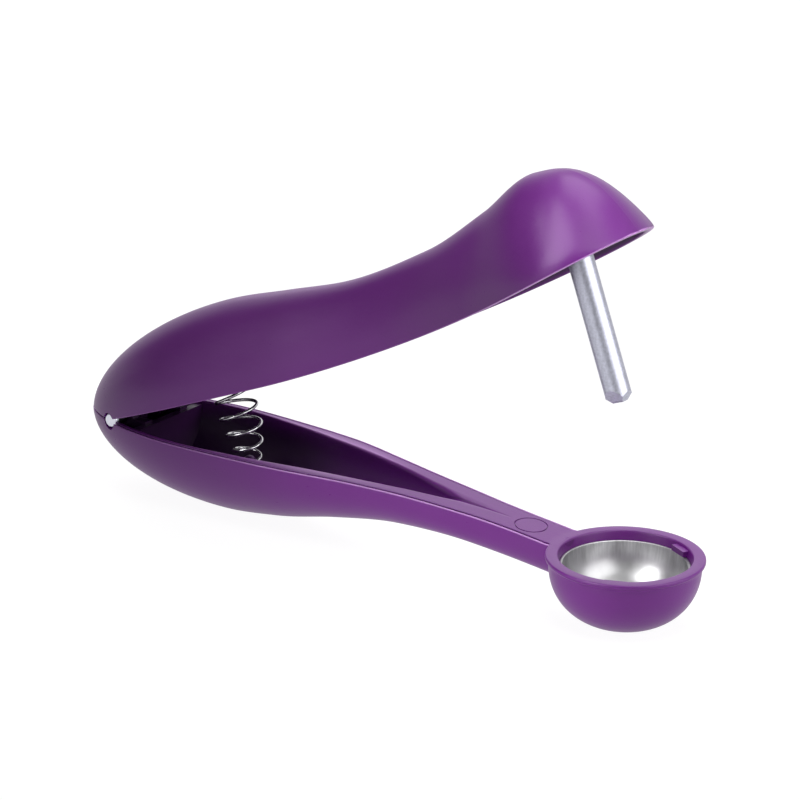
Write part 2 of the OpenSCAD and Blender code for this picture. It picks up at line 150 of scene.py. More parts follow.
class PitterFinish(bpy.types.PropertyGroup):
    """Colours and gloss of the finishes"""

    plastic: colour("Plastic", (0.14, 0.0115, 0.205), "Colour of the moulded levers")
    plastic_pale: colour("Pale plastic", (0.17, 0.016, 0.245), "Where the moulding is a little paler")
    # The next two are painted light, not colours of the plastic itself: painted shade for hollows and a
    # painted highlight for thin lit edges
    plastic_deep: colour("Deep plastic", (0.055, 0.008, 0.082), "In the depth of the hollows")
    plastic_edge: colour("Edge of the plastic", (0.66, 0.31, 0.79), "Along thin lit edges")
    plastic_roughness: share("Plastic roughness", 0.31, "Satin of the moulded surface")
    liner: colour("Liner", (0.66, 0.66, 0.67), "Pressed steel of the liner")
    liner_roughness: share("Liner roughness", 0.33, "Polish of the liner")
    rod: colour("Rod", (0.74, 0.75, 0.88), "Matt steel of the pitting rod")
    rod_roughness: share("Rod roughness", 0.36, "Polish of the rods")
    wire: colour("Wire", (0.68, 0.68, 0.7), "Drawn wire of the spring")
    wire_roughness: share("Wire roughness", 0.1, "Polish of the wire")


class PitterStage(bpy.types.PropertyGroup):
    """Camera and light of the picture"""

    azimuth: angle("Azimuth", 36.73, "Camera's place round the pitter, from its side towards the cup")
    elevation: angle("Elevation", 20.1, "Camera's height above the horizon")
    roll: angle("Roll", 1.06, "Turn of the camera about its line of sight")
    distance: length("Distance", 1000, "From the camera to the point it aims at")
    aim: FloatVectorProperty(name="Aim", description="Point in the middle of the picture", size=3,
                             default=(0.00354, 0.00119, 0.03688), subtype="XYZ", unit="LENGTH")
    lens: FloatProperty(name="Lens", description="Focal length", default=195.66, unit="CAMERA")
    key_power: watts("Key", 0.14, "Power of the soft light beside the head")
    fill_power: watts("Fill", 0.0118, "Power of the low light before the arm")
    side_power: watts("Side", 0.019, "Power of the low light beside the cup")
    rim_power: watts("Rim", 0.09, "Power of the light behind the arm")
    back_power: watts("Back", 2.0, "Power of the light above and behind")
    ambient: share("Ambient", 0.15, "Light from all round")
    bounce: share("Bounce", 0.62, "Light that the floor throws up")
    sheen: share("Sheen", 0.55, "Brightness of the surroundings in the gloss")
    floor_sheen: share("Floor sheen", 0.72, "Brightness of the floor in the gloss")
    white: FloatProperty(name="White", description="Brightness of the floor to the eye", default=1.17,
                         min=0.0)


def in_millimetres(sizes):
    """The sizes by name: lengths in millimetres, angles in radians."""
    def plain(name):
        value = getattr(sizes, name)
        return value / MM if sizes.bl_rna.properties[name].unit == "LENGTH" else value
    return SimpleNamespace(**{name: plain(name) for name in PitterSizes.__annotations__})


# Forms of the levers and the cup

class SmoothCurve:
    """A curve through points (x, value), level at its first, that never overshoots them."""

    def __init__(self, points, last_slope=0.0):
        self.at, self.value = np.array(points, float).T
        rise = np.diff(self.value) / np.diff(self.at)
        inner = [0.0 if a * b <= 0 else 2 / (1 / a + 1 / b) for a, b in zip(rise, rise[1:])]
        self.slope = np.array([0.0, *inner, last_slope])

    def __call__(self, x):
        i = np.clip(np.searchsorted(self.at, x, side="right") - 1, 0, len(self.at) - 2)
        step = self.at[i + 1] - self.at[i]
        t = np.clip((x - self.at[i]) / step, 0, 1)
        level = self.value[i] * (1 + 2 * t) * (1 - t) ** 2 + self.value[i + 1] * t * t * (3 - 2 * t)
        return level + step * (self.slope[i] * t * (1 - t) ** 2 - self.slope[i + 1] * t * t * (1 - t))


def ease(t):
    """Smooth step from 0 to 1."""
    return (1 - np.cos(np.pi * np.clip(t, 0, 1))) / 2


def root(value):
    """Square root that takes a value just below nought as nought."""
    return np.sqrt(np.maximum(value, 0))


def value_at(curve, x, *more):
    """Value of a curve at one place."""
    return float(curve(np.array(x), *more))


def quarter_turn(count):
    """Angles spread over a quarter turn."""
    return np.linspace(0, math.pi / 2, count)


def full_turn(count):
    """Angles spread round a circle."""
    return 2 * np.pi * np.arange(count) / count


def tail_close(x, widest, tail, inset):
    """Elliptic closing of a lever's tail: 1 at the widest place, 0 at its rear end."""
    return root(1 - (np.clip(widest - x, 0, None) / (widest + tail - inset)) ** 2)


# Places of the widest belly, its lowest point, the hump and the bend of the rims, from the hinge axis
BELLY_X = 22
BELLY_LOW_X = 30
HUMP_X = 38
BEND_X = 52
# Depth below a lever's skin at which its fittings end within the wall
MID_WALL = 1.1


class LowerForm:
    """Handle, arm and trough of the lower lever."""

    bead_r = 0.28
    bead_drop = 0.1
    groove_w = 0.42
    groove_depth = 0.55
    ledge = 2 * bead_r + groove_w
    lip_height = 1.4
    neck_x = 114
    fillet_r = 0.8
    trough_end = 110
    slope_from = BEND_X + 3
    slope_power = 1.76
    above_lip = 0.015
    fuller_from = 74
    fuller_run = 30
    fuller_by = 0.5

    def __init__(self, s):
        self.s = s
        belly, neck, deep = s.belly_width / 2, s.neck_width / 2, s.belly_depth
        self.cup_r = s.cup_diameter / 2
        self.cup_left = s.reach - self.cup_r
        self.width = SmoothCurve([
            (BELLY_X, belly), (42, 0.944 * belly), (54, 0.869 * belly), (72, 0.65 * belly),
            (84, 0.522 * belly), (96, neck + 1.15), (106, neck + 0.25), (self.neck_x, neck),
            (s.reach, neck)])
        self.deepness = SmoothCurve([
            (BELLY_LOW_X, deep), (45, 0.92 * deep), (62, 0.73 * deep), (80, s.arm_depth + 1.5),
            (100, s.arm_depth), (s.reach, s.arm_depth)])
        self.trough_width = SmoothCurve([
            (BELLY_X, belly - s.wall), (39, 0.77 * belly), (51, 0.647 * belly), (66, 0.476 * belly),
            (77, neck - 0.6), (87, neck / 2 - 0.3), (97, 0.7), (self.trough_end, 0.2)])
        self.mouth_width = SmoothCurve([
            (BELLY_X, 0.5), (51, 0.6), (66, 0.7), (81, 1.0), (88, 1.5), (97, 1.9), (103, 1.4),
            (self.trough_end, 0.7)])
        self.trough_deepness = SmoothCurve([
            (BELLY_LOW_X, deep - s.wall), (55, 0.68 * deep), (78, 0.36 * deep), (90, 0.16 * deep),
            (95, 0.85), (self.trough_end, 0)], -0.02)
        plate = neck - self.ledge + self.fillet_r
        self.flare_x = s.reach - math.sqrt((self.cup_r + self.fillet_r) ** 2 - plate ** 2)
        self.flare_run = (s.reach - self.flare_x) * self.fillet_r / (self.cup_r + self.fillet_r)

    def half(self, x, inset=0.0):
        """Half width of the body below the plate."""
        return (self.width(x) - inset) * tail_close(x, BELLY_X, self.s.tail, inset)

    def plate_half(self, x, inset=0.0):
        """Half width of the flat plate on top, which runs into the cup's lip with a fillet."""
        run = np.clip(x - self.flare_x, 0, self.flare_run)
        flare = self.fillet_r - np.sqrt(self.fillet_r ** 2 - run ** 2)
        return self.half(x, self.ledge + inset) + flare

    def step(self, x):
        """Height of the plate above the groove beside it, which grows to the lip's at the cup."""
        grown = ease((x - self.flare_x) / self.flare_run)
        return self.groove_depth + (self.lip_height - self.groove_depth) * grown

    def depth(self, x, inset=0.0):
        """Depth of the body below the rim."""
        return (self.deepness(x) - inset) * tail_close(x, BELLY_LOW_X, self.s.tail, inset)

    def power(self, x):
        """Power of the section: an ellipse at the handle, fuller at the arm."""
        return 2 + self.fuller_by * ease((x - self.fuller_from) / self.fuller_run)

    def rim(self, x):
        """Height of the plate's top: level along the handle, down to the cup, level with its lip."""
        fall = self.s.cup_drop - self.cup_r * math.tan(self.s.tilt)
        run = np.clip(x - self.slope_from, 0, None) / (self.cup_left - self.slope_from)
        lip = (self.s.reach - x) * math.tan(self.s.tilt) - self.s.cup_drop + self.above_lip
        return np.where(x > self.cup_left, lip, -fall * run ** self.slope_power)

    def trough_half(self, x):
        """Half width of the trough below its rounded mouth."""
        return self.trough_width(x) * tail_close(x, BELLY_X, self.s.tail, self.s.wall)

    def trough_depth(self, x):
        """Depth of the trough below the rim."""
        return self.trough_deepness(x) * tail_close(x, BELLY_LOW_X, self.s.tail, self.s.wall)

    def arch(self, x):
        """Half width, base and height of the section within the wall at one place."""
        return value_at(self.half, x, MID_WALL), 0.0, -value_at(self.depth, x, MID_WALL)


class UpperForm:
    """Dome of the upper lever, in its closed position."""

    waist_x = 90
    saddle_x = 74
    flank_x = 100
    flank_share = 0.5
    rim_from = BEND_X - 2
    rim_bend = 1.9
    peak_back = 5.1
    brow_power = 3

    def __init__(self, s):
        self.s = s
        belly, waist, self.head_r = s.belly_width / 2, s.waist_width / 2, s.head_width / 2
        climb = s.head_height - s.saddle_height
        self.peak_x = s.reach - self.peak_back
        self.tip_x = s.reach + self.head_r
        self.width = SmoothCurve([
            (BELLY_X, belly), (48, 0.8875 * belly), (self.waist_x, waist),
            (115, (waist + self.head_r) / 2 - 1.1), (s.reach, self.head_r)])
        self.crown = SmoothCurve([
            (HUMP_X, s.hump_height), (55, 0.95 * s.hump_height), (self.saddle_x, s.saddle_height),
            (100, s.saddle_height + 0.19 * climb), (s.reach - 21, s.saddle_height + 0.6 * climb),
            (self.peak_x, s.head_height)])
        self.seam_x = s.rim_gap * (1 - math.cos(s.open_angle)) / math.sin(s.open_angle)

    def half(self, x, inset=0.0):
        """Half width; the front of the head is round."""
        r = self.head_r - inset
        front = r * root(1 - (np.clip(x - self.s.reach, 0, r) / r) ** 2)
        back = (self.width(x) - inset) * tail_close(x, BELLY_X, self.s.tail, inset)
        return np.where(x > self.s.reach, front, back)

    def base(self, x):
        """Height of the rim."""
        run = np.clip(x - self.rim_from, 0, None) / (self.s.reach - self.rim_from)
        return self.s.rim_gap + self.s.rim_rise * run ** self.rim_bend

    def top(self, x, inset=0.0):
        """Height of the crown."""
        low = self.base(self.tip_x)
        run = np.clip(x - self.peak_x, 0, None) / (self.tip_x - inset - self.peak_x)
        front = low + (self.s.head_height - inset - low) * (1 - np.minimum(run, 1) ** self.brow_power)
        back = (self.crown(x) - inset) * tail_close(x, HUMP_X, self.s.tail, inset)
        return np.where(x > self.peak_x, front, back)

    def flank(self, x):
        """How far the flanks are drawn in below the round crown: the head is bell-shaped."""
        return self.flank_share * ease((x - self.flank_x) / (self.s.reach - self.flank_x))

    def seam(self, x):
        """Height of the rear rim, which follows the lower rim when the levers are open."""
        return (self.s.rim_gap - x * math.sin(self.s.open_angle)) / math.cos(self.s.open_angle)

    def rear_end(self, inset):
        """Where the crown line meets the rear seam."""
        high, long = self.s.hump_height - inset, HUMP_X + self.s.tail - inset
        fall = math.tan(self.s.open_angle)
        start = self.s.rim_gap / math.cos(self.s.open_angle) - fall * HUMP_X
        a, b, c = (high / long) ** 2 + fall ** 2, fall * start, start ** 2 - high ** 2
        return HUMP_X - (math.sqrt(b * b - a * c) - b) / a

    def ceiling(self, x, y, inset):
        """Height of the dome's skin, drawn in by the inset, over a point."""
        base = self.base(x)
        across = (y / self.half(x, inset)) ** 2
        return base + (self.top(x, inset) - base) * root(1 - across) * (1 - self.flank(x) * across)

    def arch(self, x):
        """Half width, base and height of the section within the wall at one place."""
        base = value_at(self.base, x)
        return value_at(self.half, x, MID_WALL), base, value_at(self.top, x, MID_WALL) - base


class Places:
    """Where points of the lever frame, or round the cup's axis, stand in the frame of the solids."""

    def __init__(self, s):
        self.s = s
        self.hinge = np.array(HINGE["pos_m"]) / MM
        ahead = s.reach * math.cos(s.tilt) + s.cup_drop * math.sin(s.tilt)
        self.cup_axis = np.array([self.hinge[0] + ahead, 0.0, 0.0])

    @staticmethod
    def lifted(points, turn):
        """Points turned about the hinge axis, front upwards."""
        c, s = math.cos(turn), math.sin(turn)
        return points @ np.array([[c, 0.0, s], [0.0, 1.0, 0.0], [-s, 0.0, c]])

    def lower(self, points):
        """Points of the lower lever."""
        return (self.lifted(points, self.s.tilt) + self.hinge) * MM

    def upper(self, points):
        """Points of the closed upper lever, opened."""
        return (self.lifted(points, self.s.tilt + self.s.open_angle) + self.hinge) * MM

    def cup(self, points):
        """Points round the cup's upright axis, heights from the table."""
        return (points + self.cup_axis) * MM

    def rod(self, points):
        """Points round the cup's axis on the closed upper lever, opened."""
        return (self.lifted(points + self.cup_axis - self.hinge, self.s.open_angle) + self.hinge) * MM


# Meshes

class Piece:
    """Collects closed skins, in millimetres, and makes them one object."""

    same_point = 1e-7
    shortest_edge = 1e-8

    def __init__(self, name, place):
        self.name = name
        self.place = place
        self.mesh = bmesh.new()
        self.tone = self.mesh.verts.layers.float.new(PAINTED_LIGHT)

    def skin(self, points, ring=False, capped=False, tones=0.0):
        """Skin over points [row][column]. Columns close round; rows close too, or get end caps."""
        rows, columns = points.shape[:2]
        corners = [self.mesh.verts.new(p) for p in self.place(points.reshape(-1, 3))]
        for corner, tone in zip(corners, np.broadcast_to(tones, (rows, columns)).ravel()):
            corner[self.tone] = tone
        grid = [corners[i * columns:(i + 1) * columns] for i in range(rows)]
        for i in range(rows if ring else rows - 1):
            here, there = grid[i], grid[(i + 1) % rows]
            for j in range(columns):
                k = (j + 1) % columns
                self.mesh.faces.new((here[j], there[j], there[k], here[k]))
        if capped:
            self.mesh.faces.new(grid[0])
            self.mesh.faces.new(grid[-1])
        return self

    def turned(self, profile, axis, centre=(0, 0, 0), ring=False, sides=64):
        """Skin turned about an axis from a profile of [radius, height]."""
        radius, height = np.array(profile, float).T
        swing = full_turn(sides)
        across = np.eye(3)[[(axis + 1) % 3, (axis + 2) % 3]]
        circle = np.cos(swing)[:, None] * across[0] + np.sin(swing)[:, None] * across[1]
        points = radius[:, None, None] * circle + height[:, None, None] * np.eye(3)[axis]
        return self.skin(points + np.array(centre, float), ring)

    def prism(self, outline, low, high):
        """Upright block on an outline of (x, y), from low to high at each of its points."""
        ends = [np.column_stack([outline, np.broadcast_to(z, len(outline))]) for z in (low, high)]
        return self.skin(np.stack(ends), capped=True)

    def bored_plate(self, outline, hole, near, far):
        """Plate between two distances from the middle plane, with a hole; outlines are (x, z)."""
        edges = []
        for loop in (outline, hole):
            flat = np.array([(x, near, z) for x, z in loop], float)
            verts = [self.mesh.verts.new(p) for p in self.place(flat)]
            edges += [self.mesh.edges.new((a, b)) for a, b in zip(verts, verts[1:] + verts[:1])]
        filled = bmesh.ops.triangle_fill(self.mesh, edges=edges, use_beauty=True)
        faces = [f for f in filled["geom"] if isinstance(f, bmesh.types.BMFace)]
        grown = bmesh.ops.extrude_face_region(self.mesh, geom=faces, use_keep_orig=True)
        moved = [v for v in grown["geom"] if isinstance(v, bmesh.types.BMVert)]
        bmesh.ops.translate(self.mesh, verts=moved, vec=(0.0, (far - near) * MM, 0.0))
        return self

    def toned(self, tone):
        """Gives all of the piece one tone of painted light."""
        for corner in self.mesh.verts:
            corner[self.tone] = tone
        return self

    def made(self, cutters=(), sharp=38):
        """The finished object: closed, facing outwards, smooth up to the sharp angle."""
        bmesh.ops.remove_doubles(self.mesh, verts=self.mesh.verts, dist=self.same_point)
        bmesh.ops.dissolve_degenerate(self.mesh, edges=self.mesh.edges, dist=self.shortest_edge)
        bmesh.ops.recalc_face_normals(self.mesh, faces=self.mesh.faces)
        mesh = bpy.data.meshes.new(self.name)
        self.mesh.to_mesh(mesh)
        self.mesh.free()
        piece = bpy.data.objects.new(self.name, mesh)
        bpy.context.scene.collection.objects.link(piece)
        for cutter in cutters:
            modifier = piece.modifiers.new("cut", "BOOLEAN")
            modifier.operation = "DIFFERENCE"
            modifier.solver = "EXACT"
            modifier.object = cutter
        if cutters:
            settle(piece)
        for cutter in cutters:
            bpy.data.objects.remove(cutter)
        piece.data.shade_smooth()
        piece.data.set_sharp_from_angle(angle=math.radians(sharp))
        if cutters:
            even = piece.modifiers.new("even", "WEIGHTED_NORMAL")
            even.keep_sharp = True
            settle(piece)
        return piece


def settle(piece):
    """Makes what a piece's modifiers give its plain mesh."""
    shown = piece.evaluated_get(bpy.context.evaluated_depsgraph_get())
    mesh = bpy.data.meshes.new_from_object(shown)
    piece.modifiers.clear()
    piece.data = mesh
    mesh.name = piece.name


def dress(piece, material, slot, body, *nodes):
    """Gives a piece its material and tells the frame where it belongs."""
    piece.data.materials.clear()
    piece.data.materials.append(material)
    if body:
        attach(piece, body)
    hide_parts(*nodes)


def round_edge(r, steps=4):
    """Offsets (across, down) round a quarter edge, from the side up to the top."""
    return [(r * (1 - math.cos(t)), r * (1 - math.sin(t))) for t in quarter_turn(steps)]


def section_ring(columns):
    """Columns from one middle line to the other, with their mirror images, as [station][column]."""
    return np.stack(columns + [c * MIRROR_Y for c in columns[-2:0:-1]], axis=1)


def section_tones(tones):
    """Tones of the columns, or of their points, in the order of the section ring."""
    count = max(np.size(tone) for tone in tones)
    wide = [np.broadcast_to(tone, count) for tone in tones]
    return np.stack(wide + wide[-2:0:-1], axis=1)


# How finely the skins are divided
SKIN_STEPS = 26
BEAD_STEPS = 9
MOUTH_STEPS = 8
TAIL_STEPS = 26
ARM_STEPS = 170
DOME_STEPS = 130
TIP_STEPS = 26
CUP_SIDES = 128
HALVINGS = 40


def tail_stations(first, last):
    """Places along a lever's tail, close together at its round end."""
    return first + (last - first) * (1 - np.cos(quarter_turn(TAIL_STEPS + 1)))


def lower_shell_columns(form):
    """Lines along the lower lever, from its keel round the rim to the trough's middle, with tones of
    painted light and shade.
    """
    s = form.s
    plate_r = 0.18
    # Lines end within the cup's wall: its radius, its lean from a depth on, and the last place tried
    end_r, end_lean, lean_from, end_most = 16.0, 0.2, 1.5, 10.0
    mouth_share = 0.6
    # Tones of painted light: painted shade in the trough, painted highlights on the bead and on the
    # trough's edge
    shade_depth, shade_end, shade_run = 5.0, 60.0, 25.0
    bead_dim, bead_gain = 0.5, 0.4
    mouth_highlight, mouth_from, mouth_rise, mouth_to, mouth_fall = 0.38, 12.0, 30.0, 84.0, 25.0

    def stations(inset, last):
        rear = tail_stations(inset - s.tail, BELLY_X)
        return np.concatenate([rear, np.linspace(BELLY_X, last, ARM_STEPS + 1)[1:]])

    def column(inset, half, drop):
        """A line whose half width and drop below the rim follow x; it ends within the cup's wall."""
        low, high = form.flare_x, s.reach - end_most
        for _ in range(HALVINGS):
            last = (low + high) / 2
            wall_r = end_r - end_lean * max(0.0, value_at(drop, last) - lean_from)
            outside = math.hypot(s.reach - last, value_at(half, last)) > wall_r
            low, high = (last, high) if outside else (low, last)
        x = stations(inset, low)
        return np.column_stack([x, half(x), form.rim(x) - drop(x)])

    def on_body(inset, below):
        """A line on the body, drawn in by the inset, at a depth that follows x."""
        def drop(x):
            return np.minimum(below(x), form.depth(x, inset))

        def half(x):
            part = drop(x) / np.maximum(form.depth(x, inset), TINY)
            return form.half(x, inset) * (1 - part ** form.power(x)) ** (1 / form.power(x))
        return column(inset, half, drop)

    def below_bead(share_up):
        """Depth of a line on the skin, by its share of the way from the keel to the bead."""
        def below(x):
            deep, power = np.maximum(form.depth(x), TINY), form.power(x)
            edge = np.clip((form.bead_drop + form.bead_r) / deep, 0, 1)
            first = np.arcsin(edge ** (power / 2))
            return deep * np.sin(math.pi / 2 + (first - math.pi / 2) * share_up) ** (2 / power)
        return below

    def level(down):
        return lambda x: 0 * x + down

    def on_plate(inset, down):
        return column(form.ledge + inset, lambda x: form.plate_half(x, inset), down)

    def mouth_drop(x):
        """Height of the rounded edge of the trough."""
        return np.minimum(form.mouth_width(x), mouth_share * form.trough_depth(x))

    def at_depth(x, drop):
        """Half width of the trough at a depth, where its section is an ellipse."""
        return form.trough_half(x) * root(1 - (drop / np.maximum(form.trough_depth(x), TINY)) ** 2)

    def on_mouth(swing):
        """A line on the rounded edge, from level on the plate to upright in the trough."""
        def half(x):
            round_w = form.mouth_width(x) * tail_close(x, BELLY_X, s.tail, s.wall)
            return at_depth(x, mouth_drop(x)) + round_w * (1 - math.sin(swing))
        return column(s.wall, half, lambda x: mouth_drop(x) * (1 - math.cos(swing)))

    def in_trough(share_down):
        """A line in the trough, by its share of the way down from the mouth to the bottom."""
        def drop(x):
            deep = np.maximum(form.trough_depth(x), TINY)
            first = np.arcsin(np.clip(mouth_drop(x) / deep, 0, 1))
            return form.trough_depth(x) * np.sin(first + (math.pi / 2 - first) * share_down)
        return column(s.wall, lambda x: at_depth(x, drop(x)), drop)

    def in_shade(x, z):
        """Painted shade in the trough, darkest under the upper lever."""
        return -ease((form.rim(x) - z) / shade_depth) * ease((shade_end - x) / shade_run)

    def bead_light(x):
        """Painted highlight on the bead, stronger towards the arm, clear of the upper lever."""
        return bead_dim + bead_gain * ease((x - BELLY_LOW_X) / (BEND_X - BELLY_LOW_X))

    def mouth_light(x):
        """Painted highlight on the trough's edge along the middle of the handle."""
        return mouth_highlight * ease((x - mouth_from) / mouth_rise) * ease((mouth_to - x) / mouth_fall)

    columns = [on_body(0.0, below_bead(j / SKIN_STEPS)) for j in range(SKIN_STEPS + 1)]
    tones = [0.0] * len(columns)
    for swing in np.linspace(0, math.pi, BEAD_STEPS)[1:]:
        inset = form.bead_r * (1 - math.cos(swing))
        columns.append(on_body(inset, level(form.bead_drop + form.bead_r * (1 - math.sin(swing)))))
        tones.append(math.sin(swing) * bead_light(columns[-1][:, 0]))
    # The groove beside the plate gets full painted shade, drawn as a dark crease line
    columns.append(on_body(2 * form.bead_r, level(form.groove_depth)))
    columns.append(on_plate(0.0, form.step))
    tones += [FULL_PAINTED_SHADE, FULL_PAINTED_SHADE]
    columns += [on_plate(across, level(down)) for across, down in round_edge(plate_r)]
    tones += [0.0] * (len(columns) - len(tones))
    for swing in quarter_turn(MOUTH_STEPS):
        columns.append(on_mouth(swing))
        tones.append(math.cos(swing) ** 2 * mouth_light(columns[-1][:, 0]))
    columns += [in_trough(j / SKIN_STEPS) for j in range(1, SKIN_STEPS + 1)]
    tones += [in_shade(*column[:, [0, 2]].T) for column in columns[len(tones):]]
    columns[0][:, 1] = 0
    columns[-1][:, 1] = 0
    return columns, tones


def upper_shell_columns(form):
    """Lines along the upper lever, from its crown round the rim to the inner crown, with tones of
    painted light and shade.
    """
    s = form.s
    edge_r, edge_share = 0.3, 0.7
    edge_dim, edge_gain = 0.2, 0.8
    # Faint ridge of the mould's seam down the front of the head
    ridge_h, ridge_half = 0.06, 0.2
    ridge_from, ridge_rise, ridge_fall = 2.0, 4.0, 0.4

    def stations(inset):
        rear = tail_stations(form.rear_end(inset), form.seam_x)
        middle = np.linspace(form.seam_x, s.reach, DOME_STEPS + 1)[1:]
        front = s.reach + (form.head_r - inset) * np.sin(quarter_turn(TIP_STEPS + 1)[1:])
        return np.concatenate([rear, middle, front])

    def rim_lift(x):
        """Height of the rim's edge above the base of the dome's ellipse: the rear seam rises."""
        return np.where(x < form.seam_x, np.maximum(form.seam(x) - form.base(x), 0), 0)

    def column(inset, swing_at):
        x = stations(inset)
        base = form.base(x)
        high = np.maximum(form.top(x, inset) - base, TINY)
        swing = swing_at(x, high)
        height = high * np.sin(swing) * (1 - form.flank(x) * np.cos(swing) ** 2)
        return np.column_stack([x, form.half(x, inset) * np.cos(swing), base + height])

    def swing_to(x, high, height):
        """Swing round the section to a height just above the rim."""
        return np.arcsin(np.clip(height / (high * (1 - form.flank(x))), 0, 1))

    def by_share(share_up):
        """A line on a skin, by its share of the way from the rim to the crown."""
        def swing_at(x, high):
            first = swing_to(x, high, rim_lift(x) + edge_r)
            return first + (math.pi / 2 - first) * share_up
        return swing_at

    def by_height(up):
        """A line on the rim's edge, by its height above the rim; it stays below the crown."""
        def swing_at(x, high):
            lift = rim_lift(x)
            return swing_to(x, high, np.minimum(lift + up, np.maximum(lift, edge_share * high)))
        return swing_at

    def edge_painted_highlight(x):
        """Painted highlight on the rim's edge, stronger towards the head."""
        return edge_dim + edge_gain * ease((x - form.waist_x) / (s.reach - form.waist_x))

    outer = [column(0.0, by_share(1 - j / SKIN_STEPS)) for j in range(SKIN_STEPS + 1)]
    crown = outer[0].copy()
    crown[:, 1] = 0
    beside = crown.copy()
    beside[:, 1] = np.minimum(ridge_half, outer[1][:, 1] / 2)
    x = crown[:, 0]
    ridge = ridge_h * ease((x - s.reach - ridge_from) / ridge_rise)
    crown[:, 2] += ridge * ease((form.tip_x - x) / ridge_fall)
    columns = [crown, beside] + outer[1:]
    tones = [0.0] * len(columns)
    for across, up in round_edge(edge_r)[1:]:
        columns.append(column(across, by_height(up)))
        tones.append(edge_painted_highlight(columns[-1][:, 0]))
    columns += [column(s.wall - across, by_height(up)) for across, up in reversed(round_edge(edge_r))]
    tones += [0.0] * (len(columns) - len(tones))
    columns += [column(s.wall, by_share(j / SKIN_STEPS)) for j in range(1, SKIN_STEPS + 1)]
    # The inside of the dome gets full painted shade
    tones += [FULL_PAINTED_SHADE] * SKIN_STEPS
    columns[-1][:, 1] = 0
    return columns, tones


class Hinge:
    """Ears and cross walls round the hinge rod."""

    ear_t = 2.6
    upper_from = 2.3
    play = 0.3
    wall_t = 2.0
    bed = 0.8
    ear_wall = 1.85
    wall_gap = 2.9
    bore_play = 0.05
    ear_steps = 37
    wall_steps = 33

    def __init__(self, s):
        self.rod_r = s.hinge_diameter / 2
        self.ear_r = self.rod_r + self.ear_wall
        self.wall_x = self.ear_r + self.wall_gap
        self.lower_from = self.upper_from + self.ear_t + self.play

    def ears(self, piece, start, upwards):
        """A pair of ears whose arms run forward to the cross wall."""
        sign = 1 if upwards else -1
        front = self.wall_x + self.wall_t / 2
        swing = np.linspace(math.pi / 2, 2 * math.pi, self.ear_steps)
        outline = [(self.ear_r * math.cos(t), sign * self.ear_r * math.sin(t)) for t in swing]
        outline += [(front, 0.0), (front, sign * self.ear_r)]
        hole = circle_outline(self.rod_r + self.bore_play)
        for side in (-1, 1):
            piece.bored_plate(outline, hole, side * start, side * (start + self.ear_t))

    def cross_wall(self, piece, form):
        """Wall across a lever, from the bed of its edge to within the lever's own wall."""
        rings = []
        for x in (self.wall_x, self.wall_x + self.wall_t):
            half, base, high = form.arch(x)
            first = math.asin((self.bed - base) / abs(high))
            swing = np.linspace(first, math.pi - first, self.wall_steps)
            arch = [half * np.cos(swing), base + high * np.sin(swing)]
            rings.append(np.column_stack([np.full(self.wall_steps, x), *arch]))
        piece.skin(np.stack(rings), capped=True)


# Seats of the spring in the closed levers, (x, z)
LOW_SEAT = (33.1, -9.4)
UP_SEAT = (29.9, 2.5)
RIB_T = 1.8
# How far a cutter reaches past what it cuts
CUT_PAST = 2.0


def bar_outline(length_x, length_y, steps=12):
    """Outline of an upright bar about the origin, with points along its longer sides."""
    long_x = length_x > length_y
    run = np.linspace(-0.5, 0.5, steps) * max(length_x, length_y)
    side = min(length_x, length_y) / 2
    there = np.column_stack([run, np.full(steps, side)])
    back = np.column_stack([run[::-1], np.full(steps, -side)])
    outline = np.concatenate([there, back])
    return outline if long_x else outline[:, ::-1]


def circle_outline(r, sides=40):
    """Points round a circle about the origin."""
    swing = full_turn(sides)
    return r * np.column_stack([np.cos(swing), np.sin(swing)])


def bowl(r, top, r_low, low, power, steps=40):
    """Curve of a bowl from its edge in to its floor; a higher power makes it fuller."""
    last = math.acos((r_low / r) ** (power / 2))
    full = math.sin(last) ** (2 / power)
    swing = np.linspace(0, last, steps)
    return [(r * math.cos(a) ** (2 / power), top - (top - low) * math.sin(a) ** (2 / power) / full)
            for a in swing]


